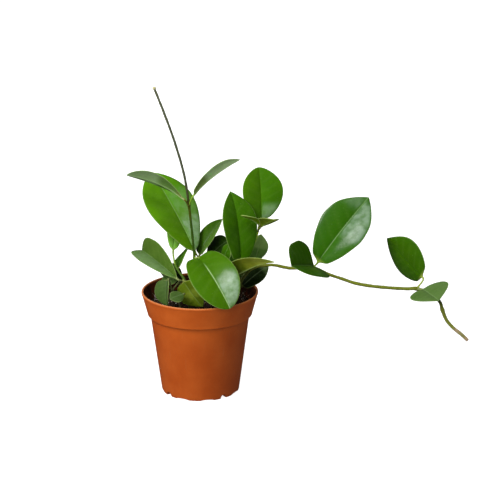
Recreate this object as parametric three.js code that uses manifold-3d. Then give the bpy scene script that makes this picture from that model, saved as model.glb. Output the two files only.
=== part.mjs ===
// A potted hoya: a climbing houseplant with waxy leaves in opposite pairs, in a tapered
// nursery pot. Millimetres, +Z up. The origin is the middle of the pot's base, on the
// surface that it stands on, and +X is the way the long vine reaches.
import * as THREE from "three";
import { ParametricGeometry } from "three/addons/geometries/ParametricGeometry.js";
import { mergeVertices } from "three/addons/utils/BufferGeometryUtils.js";
import Module from "manifold-3d";

const wasm = await Module();
wasm.setup();

// ---- driving dimensions -------------------------------------------------------------

const CLEARANCE = 0.3; // between touching pieces

// The pot: a 10.5 cm moulded pot with a deep collar, on a foot ring.
const RIM_RADIUS = 53.2;
const POT_HEIGHT = 94.5;
const COLLAR_HEIGHT = 21.5;
const COLLAR_FOOT_RADIUS = 47.9;
const WALL_TOP_RADIUS = 45.6;
const BASE_RADIUS = 35.6;
const WALL = 1.2;
const SMALL_STEP = 0.4; // the slant under the collar and under the lip
const RIM_BEVEL = 0.5;
const LIP_HEIGHT = 2.3;
const LIP_STEP = 0.5; // how far the lip stands out from the collar
const FLOOR_LIFT = 1.5; // the floor's underside is this far off the ground
const PAD_RADIUS = 12; // flat middle of the base, level with the foot ring
const PAD_SLOPE = 1; // how far the pad and the ring slope out as they rise to the floor
const RING_WIDTH = 5; // the foot ring, inwards from the base's edge
const ROUND_SEGMENTS = 48;

// Drain notches in the foot of the wall, and low relief arches between them.
const QUARTERS = 4;
const DRAIN_TURN = THREE.MathUtils.degToRad(37.5); // first notch, from -Y towards +X
const NOTCH_WIDTH = 6.8;
const NOTCH_HEIGHT = 4;
const NOTCH_DEPTH = 6;
const RELIEF_WIDTH = 12.5;
const RELIEF_HEIGHT = 1.3;
const RELIEF_DEPTH = RING_WIDTH + 2;
const RELIEF_TURN = THREE.MathUtils.degToRad(26); // each side of a notch
const CUTTER_MARGIN = 2; // how far a cutter starts outside the wall
const ARCH_STEPS = 4;

// The soil fills the pot to a little below the rim.
const SOIL_EDGE_HEIGHT = 80.5;
const SOIL_CROWN_HEIGHT = 82.5;
const SOIL_SHOULDER_HEIGHT = 81.8; // half way out to the rim
const SOIL_CLEARANCE = 0.5;
const STEM_HOLE_SIDE = 0.36; // from a stem to the side of its hole in the soil
const STEM_HOLE_END = 0.6; // from a stem's foot to the bottom of its hole

// Leaves: a flat-edged blade on a round stalk.
const STALK_RADIUS = 0.9;
const BLADE_THICKNESS = 1.3; // along the midrib
const EDGE_THICKNESS = 0.6;
const CURL = THREE.MathUtils.degToRad(22); // each half bends down this much towards its edge
const HALF_POINTS = 2; // points across each half of a blade, besides the midrib
const BLADE_STATIONS = [0.05, 0.14, 0.27, 0.41, 0.55, 0.69, 0.82, 0.93];
const STALK_STATIONS = [0, 0.5, 1];

const ENDWISE = 0.5; // a stalk this much in line with its stem's end grows from the end

const STEM_SIDES = 8;
const STEM_STEP = 6; // length of one straight piece of a stem

// ---- the plant's plan -----------------------------------------------------------------

// Each stem's route from its foot in the soil. Leaves grow at points of the route.
const STEMS = {
  tall_stem: {
    radius: 1,
    route: [
      [-2, 4, 56], [-2.5, 4, 81], [-3.5, 3, 98.5], [-5, 0, 125.5], [-7, 0, 150],
      [-9.5, 1, 174.5], [-12.5, 1, 197.5], [-16.5, 2, 215], [-23.2, 3, 237.5], [-31, 4, 259.5],
      [-39.8, 5, 282.6],
    ],
  },
  right_stem: {
    radius: 1.1,
    route: [
      [32, 6, 56], [33, 6, 80], [36.5, 6, 99], [42, 5, 118], [49.5, 5, 138.5], [52.8, 5, 149],
      [53.8, 5.5, 153.5],
    ],
  },
  long_vine: {
    radius: 1.2,
    route: [
      [26, -9, 58], [29.5, -10, 85], [37, -12, 105.5], [44, -10, 115], [48.5, -8, 118],
      [54, -6, 119.5], [60, -5.5, 120], [68, -5.5, 120.2], [83, -6, 117.5],
      [102.5, -6, 118], [117.5, -6, 111.5], [129, -6, 107.5], [141, -7, 103.6],
      [156, -8, 101.1], [174.5, -9, 99.6], [189, -10, 99.2], [197, -10, 99.2],
      [211, -8, 94], [218.5, -7, 85.5], [221, -7, 78], [225, -8, 68.5], [231, -9, 61.5],
      [238.5, -10, 55.5], [244.5, -11, 50],
    ],
  },
  left_stem: {
    radius: 1.2,
    route: [
      [-7, -14, 58], [-9.5, -16, 86], [-13, -16, 108], [-18.5, -13, 116.5], [-22, -10, 121.5],
    ],
  },
  centre_stem: {
    radius: 1.2,
    route: [[10, 16, 56], [9, 16, 78], [7, 15, 94.5], [3, 14, 117]],
  },
  low_stem: {
    radius: 1.2,
    route: [[-15, -18, 60], [-17.5, -20, 86], [-21, -22, 95.5], [-24.5, -22, 101]],
  },
};

// Each leaf: at is the stem's route point that it grows from, base and tip are the ends of
// its blade, and faces is where its upper side looks. fold lifts each half from flat and
// arch bends the midrib, in degrees. belly above 1 moves the widest place towards the tip,
// and shoulder and point round the two ends, from 1, pointed, to 0.4, round.
const LEAVES = [
  {
    name: "leaf_tall_1_back", stem: "tall_stem", at: 3, base: [-4.1, 4, 128.8], tip: [-45.1, 44, 193.6],
    faces: [0.45, -0.6, 0.65], width: 53.8, fold: 12, arch: 19, belly: 1.33, shoulder: 0.55, point: 0.69,
  },
  {
    name: "leaf_tall_1_front", stem: "tall_stem", at: 3, base: [-1.5, -3, 126.5], tip: [28, -52.5, 95],
    faces: [-0.11, -0.6, 0.79], width: 44, fold: 28, arch: 73, belly: 1.19, shoulder: 0.34, point: 0.55,
  },
  {
    name: "leaf_tall_2_left", stem: "tall_stem", at: 5,
    base: [-13.5, -7.5, 182.9], tip: [-64.7, -2.5, 203.7],
    faces: [0.25, 0.57, 0.77], width: 30.1, fold: 22, arch: 37, belly: 1.3, shoulder: 0.84, point: 0.67,
  },
  {
    name: "leaf_tall_2_right", stem: "tall_stem", at: 5, base: [-5.1, -2, 184.6], tip: [36.8, 9, 215.2],
    faces: [-0.59, 0.49, 0.68], width: 26.6, fold: 26, arch: 29, belly: 1.37, shoulder: 0.33, point: 0.76,
  },
  {
    name: "leaf_left_1_out", stem: "left_stem", at: 2, base: [-19.2, -20.2, 111.5], tip: [-54, 34, 122],
    faces: [-0.33, -0.58, 0.72], width: 33.5, fold: 55, arch: 32, belly: 1.42, shoulder: 0.55, point: 0.22,
  },
  {
    name: "leaf_left_1_in", stem: "left_stem", at: 2, base: [-13.6, -24.8, 111.7], tip: [3.5, -27, 88],
    faces: [-0.46, -0.89, -0.11], width: 28, fold: 21, arch: 20, belly: 0.78, shoulder: 0.55, point: 0.86,
  },
  {
    name: "leaf_left_1_back", stem: "left_stem", at: 2, base: [-17.8, 0, 100], tip: [-35.5, 34, 110],
    faces: [-0.2, -0.3, 1], width: 18, fold: 14, arch: 30, belly: 1.02, shoulder: 0.6, point: 0.92,
  },
  {
    name: "leaf_left_2_up", stem: "left_stem", at: 4, base: [-24, 3, 131.5], tip: [-22, 42, 156],
    faces: [0.15, -0.7, 0.67], width: 15, fold: 16, arch: 11, belly: 0.9, shoulder: 0.6, point: 1,
  },
  {
    name: "leaf_left_2_back", stem: "left_stem", at: 4, base: [-19.6, -6, 116.4], tip: [-11.4, 21.5, 128.8],
    faces: [-0.8, -0.24, 0.51], width: 22.5, fold: 17, arch: 21, belly: 0.85, shoulder: 0.6, point: 0.98,
  },
  {
    name: "leaf_right_1_front", stem: "right_stem", at: 3, base: [37, -17.5, 127], tip: [28, 1.5, 187.8],
    faces: [0.57, -0.75, 0.31], width: 38.5, fold: 24, arch: 30, belly: 1.16, shoulder: 0.31, point: 0.92,
  },
  {
    name: "leaf_right_1_back", stem: "right_stem", at: 3, base: [49.5, 10, 119], tip: [56, 15, 143.5],
    faces: [0.58, -0.79, 0.14], width: 24.5, fold: 8, arch: 9, belly: 1.03, shoulder: 0.52, point: 0.89,
  },
  {
    name: "leaf_right_2_out", stem: "right_stem", at: 6, base: [56.3, 1, 155], tip: [69, -12.5, 165],
    faces: [-0.11, 0.54, 0.8], width: 22.5, fold: 23, arch: 26, belly: 0.99, shoulder: 0.54, point: 1.03,
  },
  {
    name: "leaf_right_2_in", stem: "right_stem", at: 5, base: [53.5, -12, 161], tip: [37.5, -24, 172.7],
    faces: [0.28, 0.42, 0.86], width: 16, fold: 19, arch: 23, belly: 1, shoulder: 0.6, point: 1,
  },
  {
    name: "leaf_right_3_top", stem: "right_stem", at: 6, base: [55.5, 11, 157.3], tip: [53.7, 24, 204.2],
    faces: [0.4, -0.86, 0.32], width: 41.7, fold: 25, arch: 20, belly: 1.11, shoulder: 0.52, point: 0.6,
  },
  {
    name: "leaf_vine_1_up", stem: "long_vine", at: 2, base: [30.4, -21.4, 113.7], tip: [67.2, -39.5, 133.9],
    faces: [-0.09, 0.61, 0.79], width: 32.5, fold: 32, arch: 31, belly: 0.6, shoulder: 0.59, point: 0.93,
  },
  {
    name: "leaf_vine_1_down", stem: "long_vine", at: 2, base: [38.3, -8.5, 101], tip: [62.5, 4.5, 117],
    faces: [0.02, -0.77, 0.64], width: 17.1, fold: 16, arch: 24, belly: 0.96, shoulder: 0.4, point: 0.75,
  },
  {
    name: "leaf_vine_2_up", stem: "long_vine", at: 9, base: [106.6, -4, 121.7], tip: [153.5, 16, 178.1],
    faces: [-0.22, -0.84, 0.5], width: 46.4, fold: 23, arch: 19, belly: 1.16, shoulder: 0.45, point: 0.89,
  },
  {
    name: "leaf_vine_2_front", stem: "long_vine", at: 9, base: [103.5, -8.5, 120], tip: [82, -51, 134],
    faces: [0.69, -0.14, 0.7], width: 47.5, fold: 36, arch: 3, belly: 0.86, shoulder: 0.22, point: 0.22,
  },
  {
    name: "leaf_vine_3_up", stem: "long_vine", at: 16, base: [202.2, -7.5, 109.2], tip: [170.9, 20.5, 137.9],
    faces: [-0.75, -0.65, -0.16], width: 44.2, fold: 3, arch: 3, belly: 0.92, shoulder: 0.49, point: 0.92,
  },
  {
    name: "leaf_vine_3_front", stem: "long_vine", at: 16,
    base: [201.5, -14.5, 100.1], tip: [213.7, -44.5, 99.4],
    faces: [-0.3, -0.12, 0.95], width: 39, fold: 22, arch: 11, belly: 1.04, shoulder: 0.5, point: 0.86,
  },
  {
    name: "leaf_centre_2_left", stem: "centre_stem", at: 3, base: [-0.6, 13, 123.6], tip: [20.6, 25, 155],
    faces: [-0.65, -0.4, 0.64], width: 24.7, fold: 26, arch: 18, belly: 1.04, shoulder: 0.45, point: 0.72,
  },
  {
    name: "leaf_centre_2_right", stem: "centre_stem", at: 3,
    base: [7, 18.1, 119.8], tip: [25.5, 17.7, 136.2],
    faces: [-0.53, -0.48, 0.69], width: 34, fold: 7, arch: 16, belly: 1.08, shoulder: 0.46, point: 0.34,
  },
  {
    name: "leaf_centre_2_back", stem: "centre_stem", at: 3, base: [-5, 30, 122.5], tip: [-17, 66, 151],
    faces: [-0.2, -0.4, 1], width: 17, fold: 14, arch: 25, belly: 1.1, shoulder: 0.5, point: 0.8,
  },
  {
    name: "leaf_centre_1_right", stem: "centre_stem", at: 2, base: [20.5, 0.5, 119], tip: [28, -4.5, 140.5],
    faces: [-0.9, -0.4, 0.1], width: 18.4, fold: 10, arch: 10, belly: 1, shoulder: 0.6, point: 1,
  },
  {
    name: "leaf_centre_1_back", stem: "centre_stem", at: 2, base: [12, 24, 102.2], tip: [45, 46, 106.2],
    faces: [0.1, -0.3, 1], width: 44, fold: 14, arch: 30, belly: 1.1, shoulder: 0.5, point: 0.8,
  },
  {
    name: "leaf_low_left", stem: "low_stem", at: 3, base: [-20, -6.5, 107.3], tip: [-35.5, -8, 104.8],
    faces: [0.05, -0.2, 1], width: 23, fold: 16, arch: 22, belly: 1, shoulder: 0.6, point: 1,
  },
  {
    name: "leaf_low_front", stem: "low_stem", at: 3, base: [-27.8, -22.5, 112.2], tip: [-28.2, -30, 90.4],
    faces: [-0.84, -0.54, 0.07], width: 27.7, fold: 36, arch: 21, belly: 0.8, shoulder: 0.38, point: 0.58,
  },
  {
    name: "leaf_low_right", stem: "low_stem", at: 2, base: [-13.9, -36.8, 103.2], tip: [-25.8, -45.5, 101.2],
    faces: [0.1, -0.6, 0.8], width: 13.5, fold: 8, arch: 12, belly: 1, shoulder: 0.6, point: 1,
  },
];

// ---- materials --------------------------------------------------------------------------

const terracottaPlastic = new THREE.MeshStandardMaterial({
  color: 0xb9683a, roughness: 0.55, metalness: 0,
});
const darkSoil = new THREE.MeshStandardMaterial({
  color: 0x2a1f18, roughness: 1, metalness: 0,
});
const greenStem = new THREE.MeshStandardMaterial({
  color: 0x6f7a3c, roughness: 0.6, metalness: 0,
});
const waxyLeaf = new THREE.MeshStandardMaterial({
  color: 0x3f7a1c, roughness: 0.35, metalness: 0,
});

// ---- solids -----------------------------------------------------------------------------

function vector(list) {
  return new THREE.Vector3(...list);
}

// A closed geometry as a solid that can be cut and joined.
function solidOf(geometry) {
  const bare = geometry.clone();
  bare.deleteAttribute("normal");
  bare.deleteAttribute("uv");
  const merged = mergeVertices(bare, 1e-4);
  return new wasm.Manifold(
    new wasm.Mesh({
      numProp: 3,
      vertProperties: merged.attributes.position.array,
      triVerts: new Uint32Array(merged.index.array),
    }),
  );
}

function geometryOf(solid) {
  const mesh = solid.getMesh();
  const geometry = new THREE.BufferGeometry();
  geometry.setAttribute("position", new THREE.BufferAttribute(mesh.vertProperties, 3));
  geometry.setIndex(new THREE.BufferAttribute(mesh.triVerts, 1));
  geometry.computeVertexNormals();
  return geometry;
}

function meshOf(name, geometry, material) {
  const mesh = new THREE.Mesh(geometry, material);
  mesh.name = name;
  return mesh;
}

// A lathe about +Z from a profile of [radius, height] points that goes round its section
// with the solid on its left.
function turned(profile) {
  const points = profile.map(([radius, height]) => new THREE.Vector2(radius, height));
  return new THREE.LatheGeometry(points, ROUND_SEGMENTS).rotateX(Math.PI / 2);
}

// ---- the pot ----------------------------------------------------------------------------

const COLLAR_BOTTOM = POT_HEIGHT - COLLAR_HEIGHT;
const FLOOR_TOP = FLOOR_LIFT + WALL;
const COLLAR_TOP_RADIUS = RIM_RADIUS - LIP_STEP;
const LIP_BOTTOM = POT_HEIGHT - LIP_HEIGHT;

// The outside radius of the tapered wall, below the collar.
function wallRadius(height) {
  return THREE.MathUtils.mapLinear(height, 0, COLLAR_BOTTOM, BASE_RADIUS, WALL_TOP_RADIUS);
}

// The outside radius of the collar, below the lip.
function collarRadius(height) {
  return THREE.MathUtils.mapLinear(
    height, COLLAR_BOTTOM, LIP_BOTTOM, COLLAR_FOOT_RADIUS, COLLAR_TOP_RADIUS,
  );
}

function potProfile() {
  const ringInside = BASE_RADIUS - RING_WIDTH;
  const ledge = COLLAR_BOTTOM + WALL;
  return [
    [0, 0],
    [PAD_RADIUS, 0],
    [PAD_RADIUS + PAD_SLOPE, FLOOR_LIFT],
    [ringInside - PAD_SLOPE, FLOOR_LIFT],
    [ringInside, 0],
    [BASE_RADIUS, 0],
    [WALL_TOP_RADIUS, COLLAR_BOTTOM],
    [COLLAR_FOOT_RADIUS, COLLAR_BOTTOM + SMALL_STEP],
    [COLLAR_TOP_RADIUS, LIP_BOTTOM],
    [RIM_RADIUS, LIP_BOTTOM + SMALL_STEP],
    [RIM_RADIUS, POT_HEIGHT - RIM_BEVEL],
    [RIM_RADIUS - RIM_BEVEL, POT_HEIGHT],
    [COLLAR_TOP_RADIUS - WALL, POT_HEIGHT],
    [COLLAR_TOP_RADIUS - WALL, LIP_BOTTOM],
    [COLLAR_FOOT_RADIUS - WALL, ledge],
    [WALL_TOP_RADIUS - WALL, ledge],
    [wallRadius(FLOOR_TOP) - WALL, FLOOR_TOP],
    [0, FLOOR_TOP],
  ];
}

// A round-topped cutter that reaches from outside the wall inwards by depth.
function archCutter(width, height, depth, turn) {
  const half = width / 2;
  const arch = new THREE.Shape();
  arch.moveTo(-half, -CUTTER_MARGIN);
  arch.lineTo(half, -CUTTER_MARGIN);
  arch.quadraticCurveTo(half, height, 0, height);
  arch.quadraticCurveTo(-half, height, -half, -CUTTER_MARGIN);
  const cutter = new THREE.ExtrudeGeometry(arch, {
    depth: depth + CUTTER_MARGIN,
    bevelEnabled: false,
    curveSegments: ARCH_STEPS,
  });
  cutter.rotateX(Math.PI / 2);
  cutter.translate(0, depth - BASE_RADIUS, 0);
  return cutter.rotateZ(turn);
}

function makePot() {
  let pot = solidOf(turned(potProfile()));
  for (let quarter = 0; quarter < QUARTERS; quarter++) {
    const turn = DRAIN_TURN + (quarter * 2 * Math.PI) / QUARTERS;
    const cutters = [
      archCutter(NOTCH_WIDTH, NOTCH_HEIGHT, NOTCH_DEPTH, turn),
      archCutter(RELIEF_WIDTH, RELIEF_HEIGHT, RELIEF_DEPTH, turn - RELIEF_TURN),
      archCutter(RELIEF_WIDTH, RELIEF_HEIGHT, RELIEF_DEPTH, turn + RELIEF_TURN),
    ];
    for (const cutter of cutters) {
      pot = pot.subtract(solidOf(cutter));
    }
  }
  return meshOf("pot", geometryOf(pot), terracottaPlastic);
}

// ---- stems ------------------------------------------------------------------------------

function stemRoute(stem) {
  return new THREE.CatmullRomCurve3(stem.route.map(vector), false, "catmullrom", 0.5);
}

// A round tube along a stem's route.
function stemTube(stem, radius) {
  const path = stemRoute(stem);
  const section = new THREE.Shape();
  section.absarc(0, 0, radius, 0, 2 * Math.PI);
  return new THREE.ExtrudeGeometry(section, {
    steps: Math.ceil(path.getLength() / STEM_STEP),
    extrudePath: path,
    curveSegments: STEM_SIDES / 2,
  });
}

function makeStem(name) {
  return meshOf(name, stemTube(STEMS[name], STEMS[name].radius), greenStem);
}

// ---- the soil ---------------------------------------------------------------------------

function makeSoil() {
  const gap = WALL + SOIL_CLEARANCE;
  const ledge = COLLAR_BOTTOM + WALL + SOIL_CLEARANCE;
  const foot = FLOOR_TOP + CLEARANCE;
  let soil = solidOf(
    turned([
      [0, foot],
      [wallRadius(foot) - gap, foot],
      [WALL_TOP_RADIUS - gap, ledge],
      [COLLAR_FOOT_RADIUS - gap, ledge],
      [collarRadius(SOIL_EDGE_HEIGHT) - gap, SOIL_EDGE_HEIGHT],
      [RIM_RADIUS / 2, SOIL_SHOULDER_HEIGHT],
      [0, SOIL_CROWN_HEIGHT],
    ]),
  );
  for (const { radius, route } of Object.values(STEMS)) {
    const [[x, y, z], ...rest] = route;
    const hole = { route: [[x, y, z - STEM_HOLE_END], ...rest] };
    soil = soil.subtract(solidOf(stemTube(hole, radius + STEM_HOLE_SIDE)));
  }
  return meshOf("soil", geometryOf(soil), darkSoil);
}

// ---- leaves -----------------------------------------------------------------------------

// Half of a blade's width at a share of its length.
function halfWidth(leaf, share) {
  const roundness = THREE.MathUtils.lerp(leaf.shoulder, leaf.point, share);
  return (leaf.width / 2) * Math.sin(Math.PI * share ** leaf.belly) ** roundness;
}

// The blade's frame, from its base: along the chord, up out of its upper side, and across.
function bladeAxes(leaf) {
  const base = vector(leaf.base);
  const along = vector(leaf.tip).sub(base);
  const length = along.length();
  along.normalize();
  const up = vector(leaf.faces);
  up.addScaledVector(along, -up.dot(along)).normalize();
  const across = new THREE.Vector3().crossVectors(up, along);
  return { base, along, up, across, length };
}

// The midrib is an arc. Its place, direction and upward normal at a share of its length.
function midribAt(leaf, share) {
  const { base, along, up, across, length } = bladeAxes(leaf);
  const arch = THREE.MathUtils.degToRad(leaf.arch);
  const radius = length / (2 * Math.sin(arch / 2));
  const angle = arch * (share - 0.5);
  const place = base
    .addScaledVector(along, length / 2 + radius * Math.sin(angle))
    .addScaledVector(up, radius * (Math.cos(angle) - Math.cos(arch / 2)));
  const direction = along
    .clone()
    .multiplyScalar(Math.cos(angle))
    .addScaledVector(up, -Math.sin(angle));
  const normal = new THREE.Vector3().crossVectors(direction, across);
  return { place, direction, normal, across };
}

// Where a leaf's stalk starts, clear of the stem's skin, and the way it sets out.
function stalkFoot(leaf) {
  const stem = STEMS[leaf.stem];
  const route = stem.route.map(vector);
  const node = route[leaf.at];
  const last = leaf.at === route.length - 1;
  const axis = route[last ? leaf.at : leaf.at + 1].clone().sub(route[leaf.at - 1]).normalize();
  const outwards = vector(leaf.base).sub(node).normalize();
  const along = Math.abs(outwards.dot(axis));
  const across = Math.sqrt(1 - along * along);
  const endwise = last && outwards.dot(axis) > ENDWISE;
  const reach = endwise
    ? (CLEARANCE + STALK_RADIUS * across) / along
    : (stem.radius + CLEARANCE + STALK_RADIUS * along) / across;
  return { foot: node.addScaledVector(outwards, reach), outwards };
}

// The stalk leaves the stem squarely and runs into the line of the midrib.
function stalkCurve(leaf) {
  const { foot, outwards } = stalkFoot(leaf);
  const { place, direction } = midribAt(leaf, 0);
  const third = foot.distanceTo(place) / 3;
  const first = foot.clone().addScaledVector(outwards, third);
  const second = place.clone().addScaledVector(direction, -third);
  return new THREE.CubicBezierCurve3(foot, first, second, place);
}

// The corners of a leaf's section, from the left edge over the top and back underneath:
// side runs from -1 to 1 across the blade, and face is 1 on top and -1 underneath.
function sectionCorners() {
  const corners = [];
  for (let i = -HALF_POINTS; i <= HALF_POINTS; i++) {
    corners.push({ side: i / HALF_POINTS, face: 1 });
  }
  for (let i = HALF_POINTS; i >= -HALF_POINTS; i--) {
    corners.push({ side: i / HALF_POINTS, face: -1 });
  }
  return corners;
}

const CORNERS = sectionCorners();

// A corner of the stalk's round section.
function stalkPoint(leaf, share, corner) {
  const curve = stalkCurve(leaf);
  const direction = curve.getTangent(share);
  const { across } = midribAt(leaf, 0);
  const side = across.clone().addScaledVector(direction, -across.dot(direction)).normalize();
  const up = new THREE.Vector3().crossVectors(direction, side);
  const turn = Math.PI - (Math.PI * 2 * (corner + 0.5)) / CORNERS.length;
  return curve
    .getPoint(share)
    .addScaledVector(side, STALK_RADIUS * Math.cos(turn))
    .addScaledVector(up, STALK_RADIUS * Math.sin(turn));
}

// A corner of the blade's folded section.
function bladePoint(leaf, share, corner) {
  const { side, face } = CORNERS[corner];
  const { place, normal, across } = midribAt(leaf, share);
  const fold = THREE.MathUtils.degToRad(leaf.fold);
  const half = Math.max(halfWidth(leaf, share), STALK_RADIUS);
  const lean = fold - CURL * Math.abs(side);
  const out = (half * (Math.sin(fold) - Math.sin(lean))) / CURL;
  const lift = (half * (Math.cos(lean) - Math.cos(fold))) / CURL;
  const thickness = THREE.MathUtils.lerp(BLADE_THICKNESS, EDGE_THICKNESS, Math.abs(side));
  return place
    .addScaledVector(across, Math.sign(side) * out)
    .addScaledVector(normal, lift + (face * thickness) / 2);
}

// A leaf's closed skin: a ring of corners at each station from the stalk's foot to the tip.
function makeLeaf(leaf) {
  const node = vector(STEMS[leaf.stem].route[leaf.at]);
  const rings = [
    () => stalkCurve(leaf).getPoint(0),
    ...STALK_STATIONS.map((share) => (corner) => stalkPoint(leaf, share, corner)),
    ...BLADE_STATIONS.map((share) => (corner) => bladePoint(leaf, share, corner)),
    () => midribAt(leaf, 1).place,
  ];
  const skin = (u, v, target) => {
    const corner = Math.round((1 - u) * CORNERS.length) % CORNERS.length;
    const ring = rings[Math.round(v * (rings.length - 1))];
    target.copy(ring(corner)).sub(node);
  };
  const geometry = new ParametricGeometry(skin, CORNERS.length, rings.length - 1);
  const mesh = meshOf(leaf.name, geometry, waxyLeaf);
  mesh.position.copy(node);
  return mesh;
}

// ---- the whole plant --------------------------------------------------------------------

const pottedHoya = new THREE.Group();
pottedHoya.add(makePot(), makeSoil());
for (const name of Object.keys(STEMS)) {
  const shoot = new THREE.Group();
  const ownLeaves = LEAVES.filter((leaf) => leaf.stem === name);
  shoot.add(makeStem(name), ...ownLeaves.map(makeLeaf));
  pottedHoya.add(shoot);
}

export default pottedHoya;
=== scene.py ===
"""A potted hoya: a climbing houseplant with waxy leaves in opposite pairs, in a nursery pot.

The plant's plan is in millimetres, as its stems and leaves are measured. The meshes are made
in metres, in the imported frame: +Z up, the origin in the middle of the pot's base.
"""

import sys

import logging
import math
from dataclasses import dataclass, field
from enum import Enum

import bmesh
import bpy
import numpy as np
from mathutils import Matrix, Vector


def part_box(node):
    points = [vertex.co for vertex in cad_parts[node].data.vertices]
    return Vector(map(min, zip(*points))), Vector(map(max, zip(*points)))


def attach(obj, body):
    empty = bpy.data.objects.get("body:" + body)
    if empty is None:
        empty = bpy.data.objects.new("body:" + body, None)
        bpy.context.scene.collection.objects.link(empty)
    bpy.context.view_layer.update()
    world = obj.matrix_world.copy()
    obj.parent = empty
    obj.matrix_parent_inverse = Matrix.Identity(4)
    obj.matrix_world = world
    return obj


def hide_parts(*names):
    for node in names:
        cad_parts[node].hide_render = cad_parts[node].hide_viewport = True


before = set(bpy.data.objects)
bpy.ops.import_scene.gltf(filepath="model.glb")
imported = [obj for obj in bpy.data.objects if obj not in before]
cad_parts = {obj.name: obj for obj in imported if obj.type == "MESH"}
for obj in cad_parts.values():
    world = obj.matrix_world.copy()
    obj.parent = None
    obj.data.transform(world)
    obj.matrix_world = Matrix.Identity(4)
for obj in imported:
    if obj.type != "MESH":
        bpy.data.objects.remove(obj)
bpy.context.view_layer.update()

log = logging.getLogger("hoya")

MILLIMETRE = 0.001
BODY = "root"
FULL_TURN = 2 * math.pi

Colour = tuple[float, float, float]
Point = tuple[float, float, float]
Faces = list[tuple[int, ...]]
Thing = bpy.types.Object
Material = bpy.types.Material
Socket = bpy.types.NodeSocket
Value = Socket | Colour | float


def paint(*channels: float) -> Colour:
    """A paint-chart colour, each channel from 0 to 255, as scene-linear values."""
    shares = (channel / 255 for channel in channels)
    return tuple(s / 12.92 if s <= 0.04045 else ((s + 0.055) / 1.055) ** 2.4 for s in shares)


def smooth_step(values: np.ndarray, low: float, high: float) -> np.ndarray:
    """A soft step from 0 at low to 1 at high."""
    share = np.clip((values - low) / (high - low), 0, 1)
    return share * share * (3 - 2 * share)


def band(values: np.ndarray, low: float, full: float, fading: float, gone: float) -> np.ndarray:
    """A soft rise from 0 at low to 1 at full, and a soft fall from fading to gone."""
    return smooth_step(values, low, full) * (1 - smooth_step(values, fading, gone))


def stretch(values: np.ndarray, start: float, stop: float, soft: float) -> np.ndarray:
    """1 from start to stop and 0 past them, with each end spread over twice the width soft."""
    return band(values, start - soft, start + soft, stop - soft, stop + soft)


def bell(values: np.ndarray, width: float) -> np.ndarray:
    """1 where values are 0, falling away over width."""
    return np.exp(-((values / width) ** 2))


def unit(vector: np.ndarray) -> np.ndarray:
    """Vectors scaled to length 1 along their last axis."""
    return vector / np.linalg.norm(vector, axis=-1, keepdims=True)


def seed_of(name: str) -> int:
    """A seed that is the same in every run, from a piece's name."""
    return sum((place + 1) * ord(letter) for place, letter in enumerate(name))


def rotation(axis: str, angle: float) -> np.ndarray:
    """The matrix that turns places about X or Z.

    Args:
        axis: "X" or "Z".
        angle: in radians.

    Returns:
        The matrix, for columns of coordinates.
    """
    cos, sin = math.cos(angle), math.sin(angle)
    if axis == "X":
        return np.array([[1, 0, 0], [0, cos, -sin], [0, sin, cos]])
    return np.array([[cos, -sin, 0], [sin, cos, 0], [0, 0, 1]])


class Ripple:
    """Smooth irregularity, made of a few waves in seeded directions."""

    WAVES = 7

    def __init__(self, seed: int) -> None:
        """Draws the waves: their directions and lengths, then their phases.

        Args:
            seed: fixes the draws.
        """
        random = np.random.default_rng(seed)
        self.directions = unit(random.normal(size=(self.WAVES, 3)))
        self.directions *= random.uniform(0.6, 1.7, size=(self.WAVES, 1))
        self.phases = random.uniform(0, FULL_TURN, self.WAVES)

    def at(self, points: np.ndarray, size: float) -> np.ndarray:
        """The ripple's height at points, mostly from -1 to 1, with waves of about a size."""
        turns = points @ self.directions.T * (FULL_TURN / size) + self.phases
        return np.sin(turns).sum(axis=-1) / math.sqrt(self.WAVES)


# ---- meshes -------------------------------------------------------------------------------


@dataclass
class Skin:
    """A mesh in the making: its vertices in millimetres, faces and painted values."""

    vertices: np.ndarray
    faces: Faces
    values: dict[str, np.ndarray] = field(default_factory=dict)
    colours: dict[str, np.ndarray] = field(default_factory=dict)

    def outward(self) -> "Skin":
        """Turns the faces so that they look out.

        Returns:
            This skin.
        """
        total = 0.0
        for face in self.faces:
            first = self.vertices[face[0]]
            for second, third in zip(face[1:-1], face[2:]):
                total += first @ np.cross(self.vertices[second], self.vertices[third])
        if total < 0:
            self.faces = [face[::-1] for face in self.faces]
        return self

    def build(self, name: str) -> Thing:
        """Makes the Blender object, smooth shaded, with its painted values as attributes.

        Args:
            name: the piece's name.

        Returns:
            The object, at the origin, with its place in its vertices.
        """
        mesh = bpy.data.meshes.new(name)
        mesh.from_pydata((self.vertices * MILLIMETRE).tolist(), [], self.faces)
        mesh.update()
        mesh.polygons.foreach_set("use_smooth", [True] * len(mesh.polygons))
        for key, value in self.values.items():
            layer = mesh.attributes.new(key, "FLOAT", "POINT")
            layer.data.foreach_set("value", np.ascontiguousarray(value, dtype=np.float32))
        for key, colour in self.colours.items():
            full = np.ones((len(colour), 4), dtype=np.float32)
            full[:, :3] = colour
            layer = mesh.attributes.new(key, "FLOAT_COLOR", "POINT")
            layer.data.foreach_set("color", full.ravel())
        piece = bpy.data.objects.new(name, mesh)
        bpy.context.scene.collection.objects.link(piece)
        return piece


def ring_faces(rings: int, corners: int) -> Faces:
    """Quads that join rings of corners into a tube.

    Args:
        rings: how many rings there are.
        corners: corners in each ring.

    Returns:
        The faces, as vertex indices.
    """
    faces = []
    for low in range(0, (rings - 1) * corners, corners):
        for corner in range(corners):
            pair = (low + corner, low + (corner + 1) % corners)
            faces.append((*pair, pair[1] + corners, pair[0] + corners))
    return faces


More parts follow.
